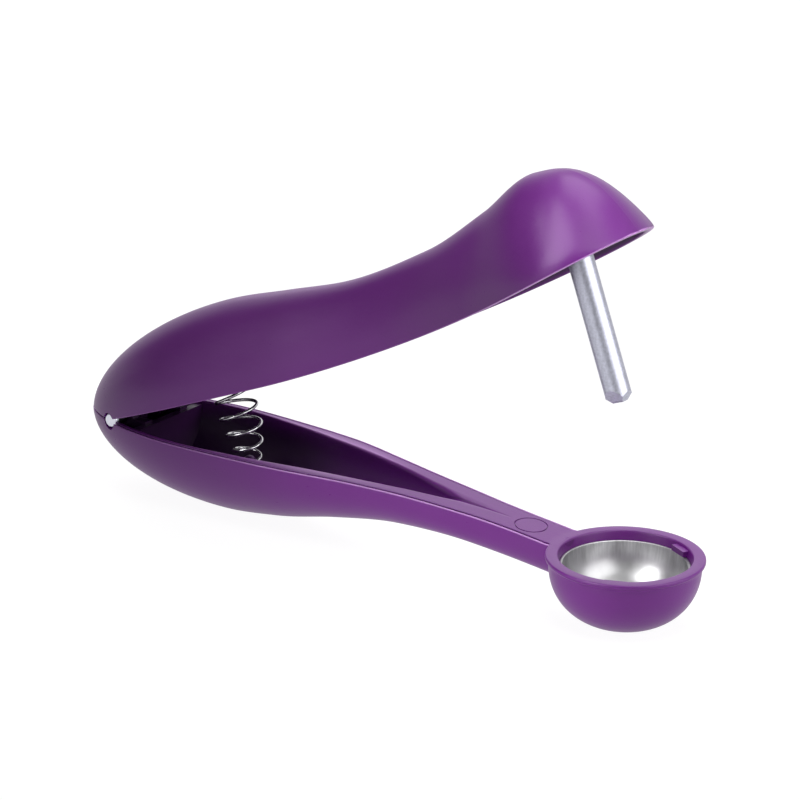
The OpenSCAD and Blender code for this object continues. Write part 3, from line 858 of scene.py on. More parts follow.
class CupForm:
    """Profiles of the cup and its liner."""

    lip_h = 1.5
    lip_out = 0.75
    lip_r = 0.4
    under_steps = 6
    floor_t = 1.7
    foot_w = 2.3
    floor_in = 1.0
    bore_in = 0.4
    hole_edge = 0.25
    outer_power = 2.25
    inner_power = 2.3
    liner_gap = 0.08
    liner_bend = 0.3
    liner_hole_in = 0.6
    bevel_short = 0.1
    bevel_long = 0.15

    def __init__(self, s):
        self.s = s
        self.rim_r, self.bore_r, self.hole_r = s.cup_diameter / 2, s.cup_bore / 2, s.pit_hole / 2
        self.foot_r = self.hole_r + self.foot_w
        self.floor_r = self.foot_r - self.floor_in
        self.liner_edge = s.cup_height - s.liner_drop
        self.liner_r = self.bore_r - self.bore_in

    def body(self):
        """Closed profile of the cup: bowl, lip, hollow and pit hole."""
        top = self.s.cup_height
        under = top - self.lip_h
        outer = bowl(self.rim_r - self.lip_out, under, self.foot_r, 0.0, self.outer_power)[::-1]
        slope = [(self.rim_r - self.lip_out * (1 - ease(t)), under + t * self.lip_h / 2)
                 for t in np.linspace(0, 1, self.under_steps + 1)[1:]]
        lip = [(self.rim_r - across, top - down) for across, down in round_edge(self.lip_r, steps=7)]
        inner = [(self.bore_r + across, top - down)
                 for across, down in reversed(round_edge(self.lip_r, steps=5))]
        hollow = bowl(self.liner_r, self.liner_edge, self.floor_r, self.floor_t, self.inner_power)
        hole = [(self.hole_r, self.floor_t), (self.hole_r, self.hole_edge),
                (self.hole_r + self.hole_edge, 0.0)]
        return outer + slope + lip + inner + hollow + hole

    def liner(self):
        """Closed profile of the pressed liner, with its edges bevelled."""
        sheet, low, top = self.s.liner_sheet, self.floor_t, self.liner_edge
        r, hole_r = self.liner_r - self.liner_gap, self.hole_r - self.liner_hole_in
        short, long = self.bevel_short, self.bevel_long
        outer = bowl(r, top - short, self.floor_r - self.liner_gap, low, self.inner_power)
        floor_r = self.floor_r - self.liner_bend
        inner = bowl(r - sheet, top - short, floor_r, low + sheet, self.inner_power)
        hole = [(hole_r + short, low), (hole_r, low + long), (hole_r, low + sheet - long),
                (hole_r + short, low + sheet)]
        edge = [(r - sheet + long, top), (r - long, top)]
        return outer + hole + inner[::-1] + edge


class SpringForm:
    """Line of the coiled wire, bent from its seat on the lower lever to the upper one."""

    per_turn = 32
    end_pitch = 0.34
    end_turns = 0.4
    easing_turns = 0.8
    start_angle = math.radians(190)
    pitch_growth = 0.4
    taper_part = 0.62
    seat_play = 0.06

    def __init__(self, s):
        self.s = s
        lift = s.wire / 2 + self.seat_play
        self.low_end = np.array([LOW_SEAT[0], 0.0, LOW_SEAT[1] + lift])
        self.up_end = Places.lifted(np.array([UP_SEAT[0], 0.0, UP_SEAT[1] - lift]), s.open_angle)

    def pitch(self, turn):
        """Climb at a turn, against the middle turns: less at both ends, more where the coil is wide."""
        from_ends = np.minimum(turn, self.s.turns - turn)
        free = ease((from_ends - self.end_turns) / self.easing_turns)
        growth = 1 + self.pitch_growth * (turn / self.s.turns - 0.5)
        return growth * (self.end_pitch + (1 - self.end_pitch) * free)

    def line(self):
        """Points along the wire in the lever frame, with a straight end of one wire each."""
        s = self.s
        rings = round(s.turns * self.per_turn)
        climb = np.concatenate([[0], np.cumsum(self.pitch((np.arange(rings) + 0.5) / self.per_turn))])
        t = (climb / climb[-1])[:, None]
        span = np.linalg.norm(self.up_end - self.low_end)
        leave = span * np.array([0.0, 0.0, 1.0])
        arrive = span * np.array([-math.sin(s.open_angle), 0.0, math.cos(s.open_angle)])
        axis = (self.low_end * (1 + 2 * t) * (1 - t) ** 2 + self.up_end * t * t * (3 - 2 * t)
                + leave * t * (1 - t) ** 2 - arrive * t * t * (1 - t))
        lean = s.open_angle * ease(t)
        r = (s.coil_low + (s.coil_top - s.coil_low) * ease(t / self.taper_part)) / 2
        swing = (self.start_angle + 2 * np.pi * np.arange(rings + 1) / self.per_turn)[:, None]
        along = np.cos(lean) * np.array([1.0, 0.0, 0.0]) + np.sin(lean) * np.array([0.0, 0.0, 1.0])
        coil = axis + r * (np.cos(swing) * along + np.sin(swing) * np.array([0.0, 1.0, 0.0]))
        first, last = coil[0] - coil[1], coil[-1] - coil[-2]
        ends = [p + s.wire * d / np.linalg.norm(d) for p, d in ((coil[0], first), (coil[-1], last))]
        return np.vstack([ends[0], coil, ends[1]])


# Materials

def maths_operator(operation):
    """An operator between shader values or numbers, and its reflected form."""
    def plain(self, other):
        return self.maths(operation, self, other)

    def reflected(self, other):
        return self.maths(operation, other, self)
    return plain, reflected


class ShaderValue:
    """A number in a shader; an expression on it adds Math nodes."""

    __add__, __radd__ = maths_operator("ADD")
    __sub__, __rsub__ = maths_operator("SUBTRACT")
    __mul__, __rmul__ = maths_operator("MULTIPLY")
    __truediv__, __rtruediv__ = maths_operator("DIVIDE")

    def __init__(self, shader, socket):
        self.shader = shader
        self.socket = socket

    def maths(self, operation, first, second=0.0):
        node = self.shader.node("ShaderNodeMath", {"operation": operation}, {0: first, 1: second})
        return ShaderValue(self.shader, node.outputs[0])

    def held(self):
        """The number kept between 0 and 1."""
        low = self.maths("MAXIMUM", self, 0.0)
        return self.maths("MINIMUM", low, 1.0)

    def sway(self, amount):
        """Change about nought that a pattern about 0.5 makes."""
        return (self - 0.5) * amount


class Shader:
    """Node tree of a material or the world, built node by node."""

    def __init__(self, owner):
        self.owner = owner
        owner.use_nodes = True
        self.tree = owner.node_tree
        self.tree.nodes.clear()

    def put(self, socket, value):
        if isinstance(value, ShaderValue):
            value = value.socket
        if isinstance(value, bpy.types.NodeSocket):
            self.tree.links.new(value, socket)
        else:
            socket.default_value = value

    def node(self, kind, settings=None, inputs=None):
        """A node with its settings and the values or links of its sockets."""
        node = self.tree.nodes.new(kind)
        for name, value in (settings or {}).items():
            setattr(node, name, value)
        for name, value in (inputs or {}).items():
            self.put(node.inputs[name], value)
        return node

    def value(self, node, output):
        return ShaderValue(self, node.outputs[output])

    def place(self, offset=(0.0, 0.0, 0.0), scale=(1.0, 1.0, 1.0)):
        """Object coordinates, moved and then stretched."""
        coords = self.node("ShaderNodeTexCoord").outputs["Object"]
        settings = {"vector_type": "POINT"}
        return self.node("ShaderNodeMapping", settings,
                         {"Vector": coords, "Location": offset, "Scale": scale}).outputs["Vector"]

    def noise(self, place, scale, detail=2.0):
        """Cloudy pattern about 0.5."""
        inputs = {"Vector": place, "Scale": scale, "Detail": detail, "Roughness": 0.55}
        return self.value(self.node("ShaderNodeTexNoise", None, inputs), "Fac")

    def mix(self, factor, first, second):
        """Colour between two colours."""
        node = self.node("ShaderNodeMix", {"data_type": "RGBA"}, {"Factor": factor})
        for at, colour_value in ((6, first), (7, second)):
            linked = isinstance(colour_value, bpy.types.NodeSocket)
            self.put(node.inputs[at], colour_value if linked else (*colour_value, 1.0))
        return node.outputs[2]

    def bump(self, height, strength, distance):
        inputs = {"Height": height, "Strength": strength, "Distance": distance}
        return self.node("ShaderNodeBump", None, inputs).outputs["Normal"]

    def by_ray(self, plain, to_eye, in_gloss, *eye_rays):
        """A brightness that has values of its own to the eye and in the gloss."""
        path = self.node("ShaderNodeLightPath")
        seen = sum(self.value(path, ray) for ray in eye_rays).held()
        mirrored = self.value(path, "Is Glossy Ray")
        return plain + seen * (to_eye - plain) + mirrored * (in_gloss - plain)

    def glow(self, strength):
        """White light from the surface itself."""
        return self.node("ShaderNodeEmission", None, {"Color": WHITE, "Strength": strength}).outputs[0]

    def end(self, surface):
        """Ends the tree of a material and gives the material."""
        self.node("ShaderNodeOutputMaterial", None, {"Surface": surface})
        return self.owner

    def surface(self, inputs):
        """Ends the tree in one surface and gives the material."""
        return self.end(self.node("ShaderNodeBsdfPrincipled", None, inputs).outputs[0])

    def steel(self, colour_value, roughness, normal):
        """Ends the tree in bare metal and gives the material."""
        return self.surface({"Base Color": colour_value, "Metallic": 1.0, "Roughness": roughness,
                             "Normal": normal})


def new_shader(name):
    """Empty shader of a new material."""
    return Shader(bpy.data.materials.new(name))


def shaded(share_of, colour_value):
    """A colour made darker, or brighter above 1."""
    return tuple(share_of * c for c in colour_value)


def plastic_material(finish):
    """Satin purple plastic: cloudy colour, fine moulded grain and faint hairlines along the levers, with
    painted shade in hollows and creases and painted highlights on thin edges.
    """
    name = "purple_plastic_satin"
    if name in bpy.data.materials:
        return bpy.data.materials[name]
    shader = new_shader(name)
    place = shader.place()
    cloud = shader.noise(place, 45.0, 3.0)
    grain = shader.noise(place, 2600.0, 2.0)
    hairline = shader.noise(shader.place(scale=(90.0, 1500.0, 1500.0)), 1.0, 1.0)
    mottle = (0.5 + cloud.sway(1.1) + grain.sway(0.5)).held()
    # Painted light from the mesh: below nought it mixes in painted shade, above nought a painted
    # highlight
    tone = shader.value(shader.node("ShaderNodeAttribute", {"attribute_name": PAINTED_LIGHT}), "Fac")
    moulded = shader.mix(mottle, finish.plastic, finish.plastic_pale)
    shady = shader.mix((0.0 - tone).held(), moulded, finish.plastic_deep)
    return shader.surface({
        "Base Color": shader.mix(tone.held(), shady, finish.plastic_edge),
        "Roughness": finish.plastic_roughness + cloud.sway(0.05) + grain.sway(0.1) + hairline.sway(0.06),
        "IOR": 1.5,
        "Normal": shader.bump(grain, 0.5, 0.04 * MM),
    })


def liner_material(finish, places):
    """Pressed steel: bright, with fine scratches that run up the bowl near its edge."""
    streaks_below, fade = 5.0 * MM, 4.0 * MM
    shader = new_shader("liner_steel_pressed")
    centre = tuple(-places.cup_axis * MM)
    split = shader.node("ShaderNodeSeparateXYZ", None, {0: shader.place(centre)})
    x, y, z = (shader.value(split, name) for name in "XYZ")
    swing = x.maths("ARCTAN2", y, x)
    streak_at = shader.node("ShaderNodeCombineXYZ", None, {0: swing * 26.0, 1: z * 130.0})
    start = (places.s.cup_height - places.s.liner_drop) * MM - streaks_below
    streak = shader.noise(streak_at.outputs[0], 1.0, 4.0).sway(((z - start) / fade).held())
    cloud = shader.noise(shader.place(), 260.0, 3.0)
    tone = (0.5 + streak * 2.0 + cloud.sway(0.9)).held()
    return shader.steel(
        shader.mix(tone, shaded(0.6, finish.liner), finish.liner),
        finish.liner_roughness + streak * 0.16 + cloud.sway(0.1),
        shader.bump(streak + cloud * 0.6, 0.25, 0.05 * MM))


def rod_material(finish):
    """Matt steel: fine speckle and faint lines along the rod."""
    shader = new_shader("rod_steel_matt")
    fine = shader.noise(shader.place(), 1700.0, 3.0)
    lines = shader.noise(shader.place(scale=(1600.0, 1600.0, 110.0)), 1.0, 2.0)
    tone = (0.5 + fine.sway(1.8) + lines.sway(0.5)).held()
    return shader.steel(
        shader.mix(tone, shaded(0.7, finish.rod), finish.rod),
        finish.rod_roughness + fine.sway(0.18) + lines.sway(0.1),
        shader.bump(fine, 0.2, 0.04 * MM))


def hinge_material(finish, half):
    """Steel rod, brighter at its cut ends; the shaft hidden in the levers is painted near black as
    shade.
    """
    end_length, fade = 1.2 * MM, 0.5 * MM
    shader = new_shader("rod_steel_end")
    place = shader.place()
    y = shader.value(shader.node("ShaderNodeSeparateXYZ", None, {0: place}), "Y")
    end = ((y.maths("ABSOLUTE", y) - (half * MM - end_length)) / fade).held()
    fine = shader.noise(place, 1700.0, 3.0)
    bright = shader.mix(fine, shaded(1.1, finish.rod), shaded(1.3, finish.rod))
    return shader.steel(
        # Painted shade: the shaft within the levers gets a near-black colour
        shader.mix(1.0 - end, bright, shaded(0.06, finish.rod)),
        finish.rod_roughness + fine.sway(0.18),
        shader.bump(fine, 0.2, 0.04 * MM))


def wire_material(finish):
    """Drawn wire: bright, with slight changes of polish."""
    shader = new_shader("spring_steel_drawn")
    cloud = shader.noise(shader.place(), 900.0, 3.0)
    return shader.steel(
        shader.mix(cloud, shaded(0.75, finish.wire), finish.wire),
        finish.wire_roughness + cloud.sway(0.1),
        shader.bump(cloud, 0.08, 0.03 * MM))


# Operators

class PieceOperator:
    """What every operator of the pitter shares."""

    bl_options = {"REGISTER", "UNDO"}

    def execute(self, context):
        sizes = in_millimetres(context.scene.pitter_sizes)
        self.build(sizes, Places(sizes), context.scene.pitter_finish)
        return {"FINISHED"}


def rod_cutter(s, place, r):
    """Round cutter along the hinge axis, through both side walls."""
    half = s.belly_width / 2 + CUT_PAST
    return Piece("cutter", place).turned([(0, -half), (r, -half), (r, half), (0, half)], Y_AXIS).made()


class PITTER_OT_lower_lever(PieceOperator, bpy.types.Operator):
    """Builds the lower handle with its trough and arm, and the fittings inside it"""

    bl_idname = "pitter.lower_lever"
    bl_label = "Lower lever"

    mark_back = 25.9
    mark_r = 3.9
    mark_width = 0.32
    mark_depth = 0.25
    post_play = 0.55
    post_top = -5.0
    seat_past = 0.4

    def build(self, s, places, finish):
        form, hinge = LowerForm(s), Hinge(s)
        material = plastic_material(finish)
        mark_x = s.reach - self.mark_back
        fall = (value_at(form.rim, mark_x - 1) - value_at(form.rim, mark_x + 1)) / 2
        mark_at = np.array([mark_x, 0.0, value_at(form.rim, mark_x)])

        def on_arm(points):
            return places.lower(Places.lifted(points, -math.atan(fall)) + mark_at)
        low, near, far = -self.mark_depth, self.mark_r - self.mark_width, self.mark_r
        groove = [(near, low), (far, low), (far, CUT_PAST), (near, CUT_PAST)]
        mark = Piece("cutter", on_arm).turned(groove, Z_AXIS, ring=True).made()
        notch = rod_cutter(s, places.lower, hinge.rod_r + hinge.play)

        def on_table(points):
            placed = places.lower(points)
            placed[:, 2] = np.maximum(placed[:, 2], 0.0)
            return placed
        shell = Piece("lower_handle", on_table)
        columns, tones = lower_shell_columns(form)
        shell.skin(section_ring(columns), capped=True, tones=section_tones(tones))
        dress(shell.made([notch, mark]), material, "purple_plastic", "base", "lower_lever")

        inside = Piece("lower_fittings", places.lower)
        hinge.ears(inside, hinge.lower_from, upwards=False)
        hinge.cross_wall(inside, form)
        floor = MID_WALL - value_at(form.depth, LOW_SEAT[0])
        post_r = s.coil_low / 2 - s.wire / 2 - self.post_play
        seat_r = s.coil_low / 2 + s.wire / 2 + self.seat_past
        dome = [(post_r * math.cos(t), self.post_top - post_r + post_r * math.sin(t))
                for t in quarter_turn(9)]
        profile = [(0, floor), (seat_r, floor), (seat_r, LOW_SEAT[1]), (post_r, LOW_SEAT[1]), *dome]
        inside.turned(profile, Z_AXIS, (LOW_SEAT[0], 0, 0), sides=40)
        # The fittings within the lever get full painted shade
        dress(inside.toned(FULL_PAINTED_SHADE).made(), material, "purple_plastic", "base", "lower_lever")


class PITTER_OT_upper_lever(PieceOperator, bpy.types.Operator):
    """Builds the domed upper lever and the boss, ribs and ears inside it"""

    bl_idname = "pitter.upper_lever"
    bl_label = "Upper lever"

    spigot_play = 0.7
    spigot_h = 2.0
    cross_past = 0.6
    boss_up = 3.4
    boss_wall = 2.2
    boss_ahead = 0.02
    rib_up = 2.0
    rib_past = 4.0
    rib_short = 8.0

    def build(self, s, places, finish):
        form, hinge = UpperForm(s), Hinge(s)
        material = plastic_material(finish)
        shell = Piece("upper_shell", places.upper)
        columns, tones = upper_shell_columns(form)
        shell.skin(section_ring(columns), tones=section_tones(tones))
        notch = rod_cutter(s, places.upper, hinge.rod_r + hinge.play)
        dress(shell.made([notch]), material, "purple_plastic", "upper", "upper_lever")

        inside = Piece("upper_fittings", places.upper)
        hinge.ears(inside, hinge.upper_from, upwards=True)
        hinge.cross_wall(inside, form)

        def up_to_dome(outline, low):
            inside.prism(outline, low, form.ceiling(outline[:, 0], outline[:, 1], MID_WALL))
        seat = np.array([UP_SEAT[0], 0.0])
        spigot_r = s.coil_top / 2 - s.wire / 2 - self.spigot_play
        cross = s.coil_top + 2 * s.wire + self.cross_past
        up_to_dome(circle_outline(spigot_r) + seat, UP_SEAT[1] - self.spigot_h)
        up_to_dome(bar_outline(cross, RIB_T) + seat, UP_SEAT[1])
        up_to_dome(bar_outline(RIB_T, cross) + seat, UP_SEAT[1])
        boss_foot = self.boss_up + value_at(form.base, s.reach)
        rib_foot = boss_foot + self.rib_up
        axis = np.array([s.reach + self.boss_ahead * s.head_height, 0.0])
        rib_long = form.head_r + self.rib_past
        up_to_dome(circle_outline(s.pin_diameter / 2 + self.boss_wall) + axis, boss_foot)
        up_to_dome(bar_outline(rib_long, RIB_T) + axis - np.array([rib_long / 2, 0.0]), rib_foot)
        up_to_dome(bar_outline(RIB_T, 2 * form.head_r - self.rib_short) + axis, rib_foot)
        # The fittings within the lever get full painted shade
        dress(inside.toned(FULL_PAINTED_SHADE).made(), material, "purple_plastic", "upper", "upper_lever")


class PITTER_OT_cup(PieceOperator, bpy.types.Operator):
    """Builds the cup with its lip, pit hole and the two tabs over the liner"""

    bl_idname = "pitter.cup"
    bl_label = "Cup"

    tab_width = 5.0
    tab_height = 1.3
    tab_at = math.radians(65)
    tab_in = 1.2
    tab_out = 0.8
    tab_gap = 0.15

    def build(self, s, places, finish):
        form = CupForm(s)
        cup = Piece("cup_bowl", places.cup)
        cup.turned(form.body(), Z_AXIS, ring=True, sides=CUP_SIDES)
        inner, outer = form.liner_r - self.tab_in, form.liner_r + self.tab_out
        low, half = form.liner_edge + self.tab_gap, self.tab_width / 2
        corners = np.array([(inner, -half), (outer, -half), (outer, half), (inner, half)])
        for turn in (-self.tab_at, self.tab_at):
            along, across = (math.cos(turn), math.sin(turn)), (-math.sin(turn), math.cos(turn))
            cup.prism(corners @ np.array([along, across]), low, low + self.tab_height)
        dress(cup.made(), plastic_material(finish), "purple_plastic", "base", "lower_lever")


class PITTER_OT_liner(PieceOperator, bpy.types.Operator):
    """Builds the pressed steel liner of the cup"""

    bl_idname = "pitter.liner"
    bl_label = "Liner"

    def build(self, s, places, finish):
        liner = Piece("cup_liner_sheet", places.cup)
        liner.turned(CupForm(s).liner(), Z_AXIS, ring=True, sides=CUP_SIDES)
        dress(liner.made(), liner_material(finish, places), "liner_steel", "base", "cup_liner")


class PITTER_OT_hinge_rod(PieceOperator, bpy.types.Operator):
    """Builds the hinge rod with its rounded ends"""

    bl_idname = "pitter.hinge_rod"
    bl_label = "Hinge rod"

    end_r = 0.4

    def build(self, s, places, finish):
        r, half = s.hinge_diameter / 2, s.hinge_length / 2
        end = [(r - across, half - down) for across, down in round_edge(self.end_r, steps=6)]
        start = [(radius, -height) for radius, height in reversed(end)]
        rod = Piece("hinge_rod", places.lower)
        rod.turned([(0, -half), *start, *end, (0, half)], Y_AXIS, sides=48)
        dress(rod.made(), hinge_material(finish, half), "rod_steel", "base", "hinge_pin")


def tip_height(points, flats):
    """Height of a cut tip over points (x, y): the highest of the slopes outside each flat."""
    slopes = [steep * np.clip(points @ (x, y) - start, 0, None) for x, y, start, steep in flats]
    return np.max(slopes, axis=0)


class PITTER_OT_pitting_rod(PieceOperator, bpy.types.Operator):
    """Builds the pitting rod with its blunt, bevelled tip"""

    bl_idname = "pitter.pitting_rod"
    bl_label = "Pitting rod"

    # Flats of the tip: direction across the rod, distance of the flat from the axis, steepness
    flats = ((0, -1, 1.0, 1.6), (0, 1, 1.0, 1.6), (1, 0, 1.4, 1.3), (-1, 0, 1.4, 1.3))
    tip_rings = 14
    below_skin = 3.0

    def build(self, s, places, finish):
        r = s.pin_diameter / 2
        lift = places.hinge[2] + s.reach * math.sin(s.tilt)
        top = lift + s.head_height - s.wall - self.below_skin
        circle = circle_outline(1.0, 96)
        rings = [ring_r * circle for ring_r in np.linspace(0, r, self.tip_rings)]
        heights = [tip_height(ring, self.flats) - s.pin_past for ring in rings]
        rows = [np.column_stack([ring, height]) for ring, height in zip(rings, heights)]
        rows += [np.column_stack([ring, np.full(len(ring), top)]) for ring in (rings[-1], rings[0])]
        rod = Piece("pitting_rod", places.rod)
        rod.skin(np.stack(rows))
        dress(rod.made(sharp=25), rod_material(finish), "rod_steel", "upper", "pitting_pin")


def wire_tree(material):
    """Geometry nodes that sweep a round wire along the edges of a mesh."""
    tree = bpy.data.node_groups.new("coiled_wire", "GeometryNodeTree")
    kinds = {"Line": "NodeSocketGeometry", "Wire radius": "NodeSocketFloat", "Sides": "NodeSocketInt"}
    sockets = {name: tree.interface.new_socket(name, in_out="INPUT", socket_type=kind).identifier
               for name, kind in kinds.items()}
    tree.interface.new_socket("Wire", in_out="OUTPUT", socket_type="NodeSocketGeometry")
    given, line, profile, sweep, smooth, real, finish, result = (tree.nodes.new(kind) for kind in (
        "NodeGroupInput", "GeometryNodeMeshToCurve", "GeometryNodeCurvePrimitiveCircle",
        "GeometryNodeCurveToMesh", "GeometryNodeSetShadeSmooth", "GeometryNodeRealizeInstances",
        "GeometryNodeSetMaterial", "NodeGroupOutput"))
    sweep.inputs["Fill Caps"].default_value = True
    finish.inputs["Material"].default_value = material
    chain = (given, line, sweep, smooth, real, finish, result)
    links = [(source.outputs[0], target.inputs[0]) for source, target in zip(chain, chain[1:])]
    links.append((given.outputs["Wire radius"], profile.inputs["Radius"]))
    links.append((given.outputs["Sides"], profile.inputs["Resolution"]))
    links.append((profile.outputs["Curve"], sweep.inputs["Profile Curve"]))
    for source, target in links:
        tree.links.new(source, target)
    return tree, sockets


class PITTER_OT_spring(PieceOperator, bpy.types.Operator):
    """Builds the coiled return spring, which bends between the levers"""

    bl_idname = "pitter.spring"
    bl_label = "Spring"

    wire_sides = 16

    def build(self, s, places, finish):
        form = SpringForm(s)
        points = places.lower(form.line())
        mesh = bpy.data.meshes.new("spring_wire")
        mesh.from_pydata([tuple(p) for p in points], [(i, i + 1) for i in range(len(points) - 1)], [])
        spring = bpy.data.objects.new("spring_wire", mesh)
        bpy.context.scene.collection.objects.link(spring)
        material = wire_material(finish)
        tree, sockets = wire_tree(material)
        modifier = spring.modifiers.new("coil", "NODES")
        modifier.node_group = tree
        modifier[sockets["Wire radius"]] = s.wire / 2 * MM
        modifier[sockets["Sides"]] = self.wire_sides
        settle(spring)
        ends = places.lower(np.stack([form.low_end, form.up_end]))
        dress(spring, material, "spring_steel", None, "return_spring")
        tuple(ends[0])
        tuple(ends[1])
        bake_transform(spring)


class PITTER_OT_stage(bpy.types.Operator):
    """Sets up the pale floor, the soft studio light and the camera"""

    bl_idname = "pitter.stage"
    bl_label = "Stage"
    bl_options = {"REGISTER", "UNDO"}

    # Panels and flags that show in the gloss: name, place from the aimed point, size, brightness
    cards = (
        ("rear_flag", (-0.85, -0.3, 0.42), (1.2, 0.62), 0.1),
        ("front_flag", (0.55, -0.78, 0.3), (0.42, 0.75), 0.25),
        ("left_flag", (-0.6, -0.38, -0.02), (0.55, 0.3), 0.2),
        ("front_strip", (-0.28, -0.68, 0.66), (0.56, 0.8), 5.0),
        ("head_panel", (-0.2, -0.16, 0.23), (0.06, 0.06), 4.0),
        ("low_panel", (-0.2, -0.93, 0.15), (0.5, 0.5), 1.5),
        ("side_panel", (-0.65, -0.62, 0.31), (0.3, 0.3), 0.15),
        ("top_panel", (-0.1, 0.3, 1.1), (0.9, 0.9), 3.1),
        ("right_panel", (1.0, 0.1, 0.5), (1.3, 1.1), 2.2),
        ("back_panel", (-0.35, 1.0, 0.4), (1.6, 0.7), 1.0),
    )

    # Places from the aimed point and from the head: to the right, up and towards the camera
    head_from_aim = (0.04, 0.042, 0.052)
    key_from_head = (0.015, 0.055, 0.082)
    key_size = (0.08, 0.08)
    back_from_aim = (-0.44, 0.28, 0.3)
    back_size = (0.4, 0.4)
    arm_point = (0.032, 0.0, 0.01)
    cup_point = (0.068, 0.0, 0.01)
    # Small lamps: name, setting of its power, place, point it faces, size, spread in degrees
    lamps = (
        ("low_fill", "fill_power", (0.035, -0.075, 0.014), arm_point, (0.1, 0.02), 95),
        ("side_light", "side_power", (0.134, 0.017, 0.021), cup_point, (0.04, 0.04), 180),
        ("rim_light", "rim_power", (0.009, 0.075, 0.083), arm_point, (0.08, 0.08), 180),
    )
    sensor_width = 36.0
    floor_size = (8.0, 8.0)
    floor_below = 0.05 * MM
    floor_grey = (0.8, 0.8, 0.8, 1.0)
    floor_glow = 0.8

    def execute(self, context):
        scene, stage = context.scene, context.scene.pitter_stage
        scene.view_settings.view_transform = "Standard"
        view = self.camera(scene, stage)
        self.world(scene, stage)
        self.floor(scene, stage)
        aim = Vector(stage.aim)
        head = aim + view @ Vector(self.head_from_aim)
        key = head + view @ Vector(self.key_from_head)
        self.lamp(scene, "key_light", key, head, stage.key_power, self.key_size)
        behind = aim + Vector(self.back_from_aim)
        self.lamp(scene, "back_light", behind, aim, stage.back_power, self.back_size)
        for name, setting, place, facing, size, spread in self.lamps:
            self.lamp(scene, name, Vector(place), Vector(facing), getattr(stage, setting), size, spread)
        for name, place, size, glow in self.cards:
            self.card(scene, name, aim + Vector(place), aim, size, glow)
        return {"FINISHED"}

    def camera(self, scene, stage):
        """Camera at the picture's angle; gives its turn, whose columns point right, up and back."""
        a, e = stage.azimuth, stage.elevation
        back = Vector((math.sin(a) * math.cos(e), -math.cos(a) * math.cos(e), math.sin(e)))
        level = Vector((math.cos(a), math.sin(a), 0.0))
        upright = back.cross(level)
        right = math.cos(stage.roll) * level + math.sin(stage.roll) * upright
        up = back.cross(right)
        data = bpy.data.cameras.new("camera")
        data.lens, data.sensor_width = stage.lens, self.sensor_width
        camera = bpy.data.objects.new("camera", data)
        turn = Matrix((right, up, back)).transposed()
        place = Vector(stage.aim) + back * stage.distance
        camera.matrix_world = Matrix.Translation(place) @ turn.to_4x4()
        scene.collection.objects.link(camera)
        scene.camera = camera
        return turn

    def world(self, scene, stage):
        """White to the eye, bright in reflections, and a plain soft light otherwise."""
        world = bpy.data.worlds.new("studio")
        scene.world = world
        shader = Shader(world)
        eye_rays = ("Is Camera Ray", "Is Transmission Ray")
        strength = shader.by_ray(stage.ambient, 1.0, stage.sheen, *eye_rays)
        light = shader.node("ShaderNodeBackground", None, {"Color": WHITE, "Strength": strength})
        shader.node("ShaderNodeOutputWorld", None, {"Surface": light.outputs[0]})

    def floor(self, scene, stage):
        """Wide pale floor that looks white, keeps a faint shadow and lights the tool from below."""
        shader = new_shader("floor_pale")
        glow = shader.glow(shader.by_ray(stage.bounce, stage.white, stage.floor_sheen, "Is Camera Ray"))
        matt = shader.node("ShaderNodeBsdfDiffuse", None, {"Color": self.floor_grey}).outputs[0]
        mixed = shader.node("ShaderNodeMixShader", None, {0: self.floor_glow, 1: matt, 2: glow})
        below = Matrix.Translation((0.0, 0.0, -self.floor_below))
        self.sheet(scene, "floor", self.floor_size, below, shader.end(mixed.outputs[0]))

    def sheet(self, scene, name, size, place, material):
        """Flat sheet of the stage."""
        x, y = size[0] / 2, size[1] / 2
        mesh = bpy.data.meshes.new(name)
        mesh.from_pydata([(-x, -y, 0.0), (x, -y, 0.0), (x, y, 0.0), (-x, y, 0.0)], [], [(0, 1, 2, 3)])
        mesh.materials.append(material)
        sheet = bpy.data.objects.new(name, mesh)
        sheet.matrix_world = place
        scene.collection.objects.link(sheet)
        return sheet

    def card(self, scene, name, place, aim, size, glow):
        """Bright or dark card that only shows in the gloss, as a photographer's panel or flag does."""
        shader = new_shader(name)
        material = shader.end(shader.glow(glow))
        turn = (aim - place).to_track_quat("Z", "Y").to_matrix().to_4x4()
        card = self.sheet(scene, name, size, Matrix.Translation(place) @ turn, material)
        for ray in ("camera", "diffuse", "shadow", "transmission"):
            setattr(card, "visible_" + ray, False)

    def lamp(self, scene, name, place, aim, power, size, spread=180):
        """Soft light from a flat panel."""
        data = bpy.data.lights.new(name, "AREA")
        data.shape = "RECTANGLE"
        data.energy, data.spread = power, math.radians(spread)
        data.size, data.size_y = size
        lamp = bpy.data.objects.new(name, data)
        lamp.location = place
        lamp.rotation_mode = "QUATERNION"
        lamp.rotation_quaternion = (aim - place).to_track_quat("-Z", "Y")
        lamp.visible_camera = False
        lamp.visible_glossy = False
        scene.collection.objects.link(lamp)


OPERATORS = (
    PITTER_OT_lower_lever, PITTER_OT_cup, PITTER_OT_liner, PITTER_OT_hinge_rod,
    PITTER_OT_spring, PITTER_OT_upper_lever, PITTER_OT_pitting_rod, PITTER_OT_stage,
)
GROUPS = {"pitter_sizes": PitterSizes, "pitter_finish": PitterFinish, "pitter_stage": PitterStage}


class VIEW3D_PT_pitter(bpy.types.Panel):
    """Sizes, finishes and operators of the pitter"""

    bl_label = "Cherry Pitter"
    bl_space_type = "VIEW_3D"
    bl_region_type = "UI"
    bl_category = "Pitter"

    def draw(self, context):
        layout = self.layout
        for operator in OPERATORS:
            layout.operator(operator.bl_idname)
        for name, group in GROUPS.items():
            box = layout.box()
            for setting in group.__annotations__:
                box.prop(getattr(context.scene, name), setting)


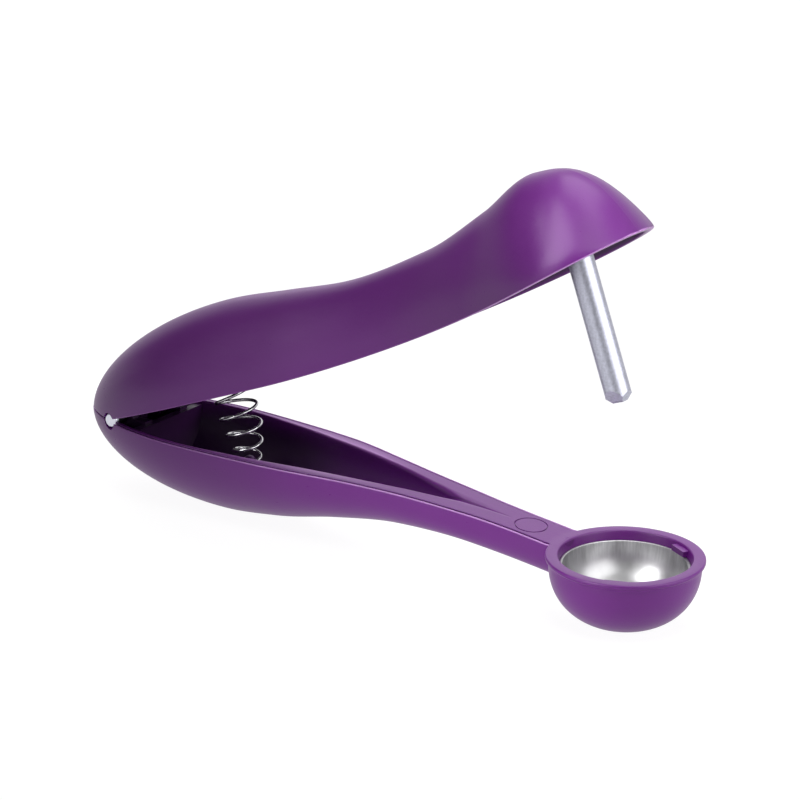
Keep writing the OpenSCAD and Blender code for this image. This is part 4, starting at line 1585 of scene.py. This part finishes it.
def register():
    for kind in (*GROUPS.values(), *OPERATORS, VIEW3D_PT_pitter):
        bpy.utils.register_class(kind)
    for name, group in GROUPS.items():
        setattr(bpy.types.Scene, name, PointerProperty(type=group))


def unregister():
    for name in GROUPS:
        delattr(bpy.types.Scene, name)
    for kind in (VIEW3D_PT_pitter, *reversed(OPERATORS), *GROUPS.values()):
        bpy.utils.unregister_class(kind)


def main():
    """Builds every piece and the stage."""
    register()
    for operator in OPERATORS:
        group, name = operator.bl_idname.split(".")
        getattr(getattr(bpy.ops, group), name)()


if __name__ == "__main__":
    main()
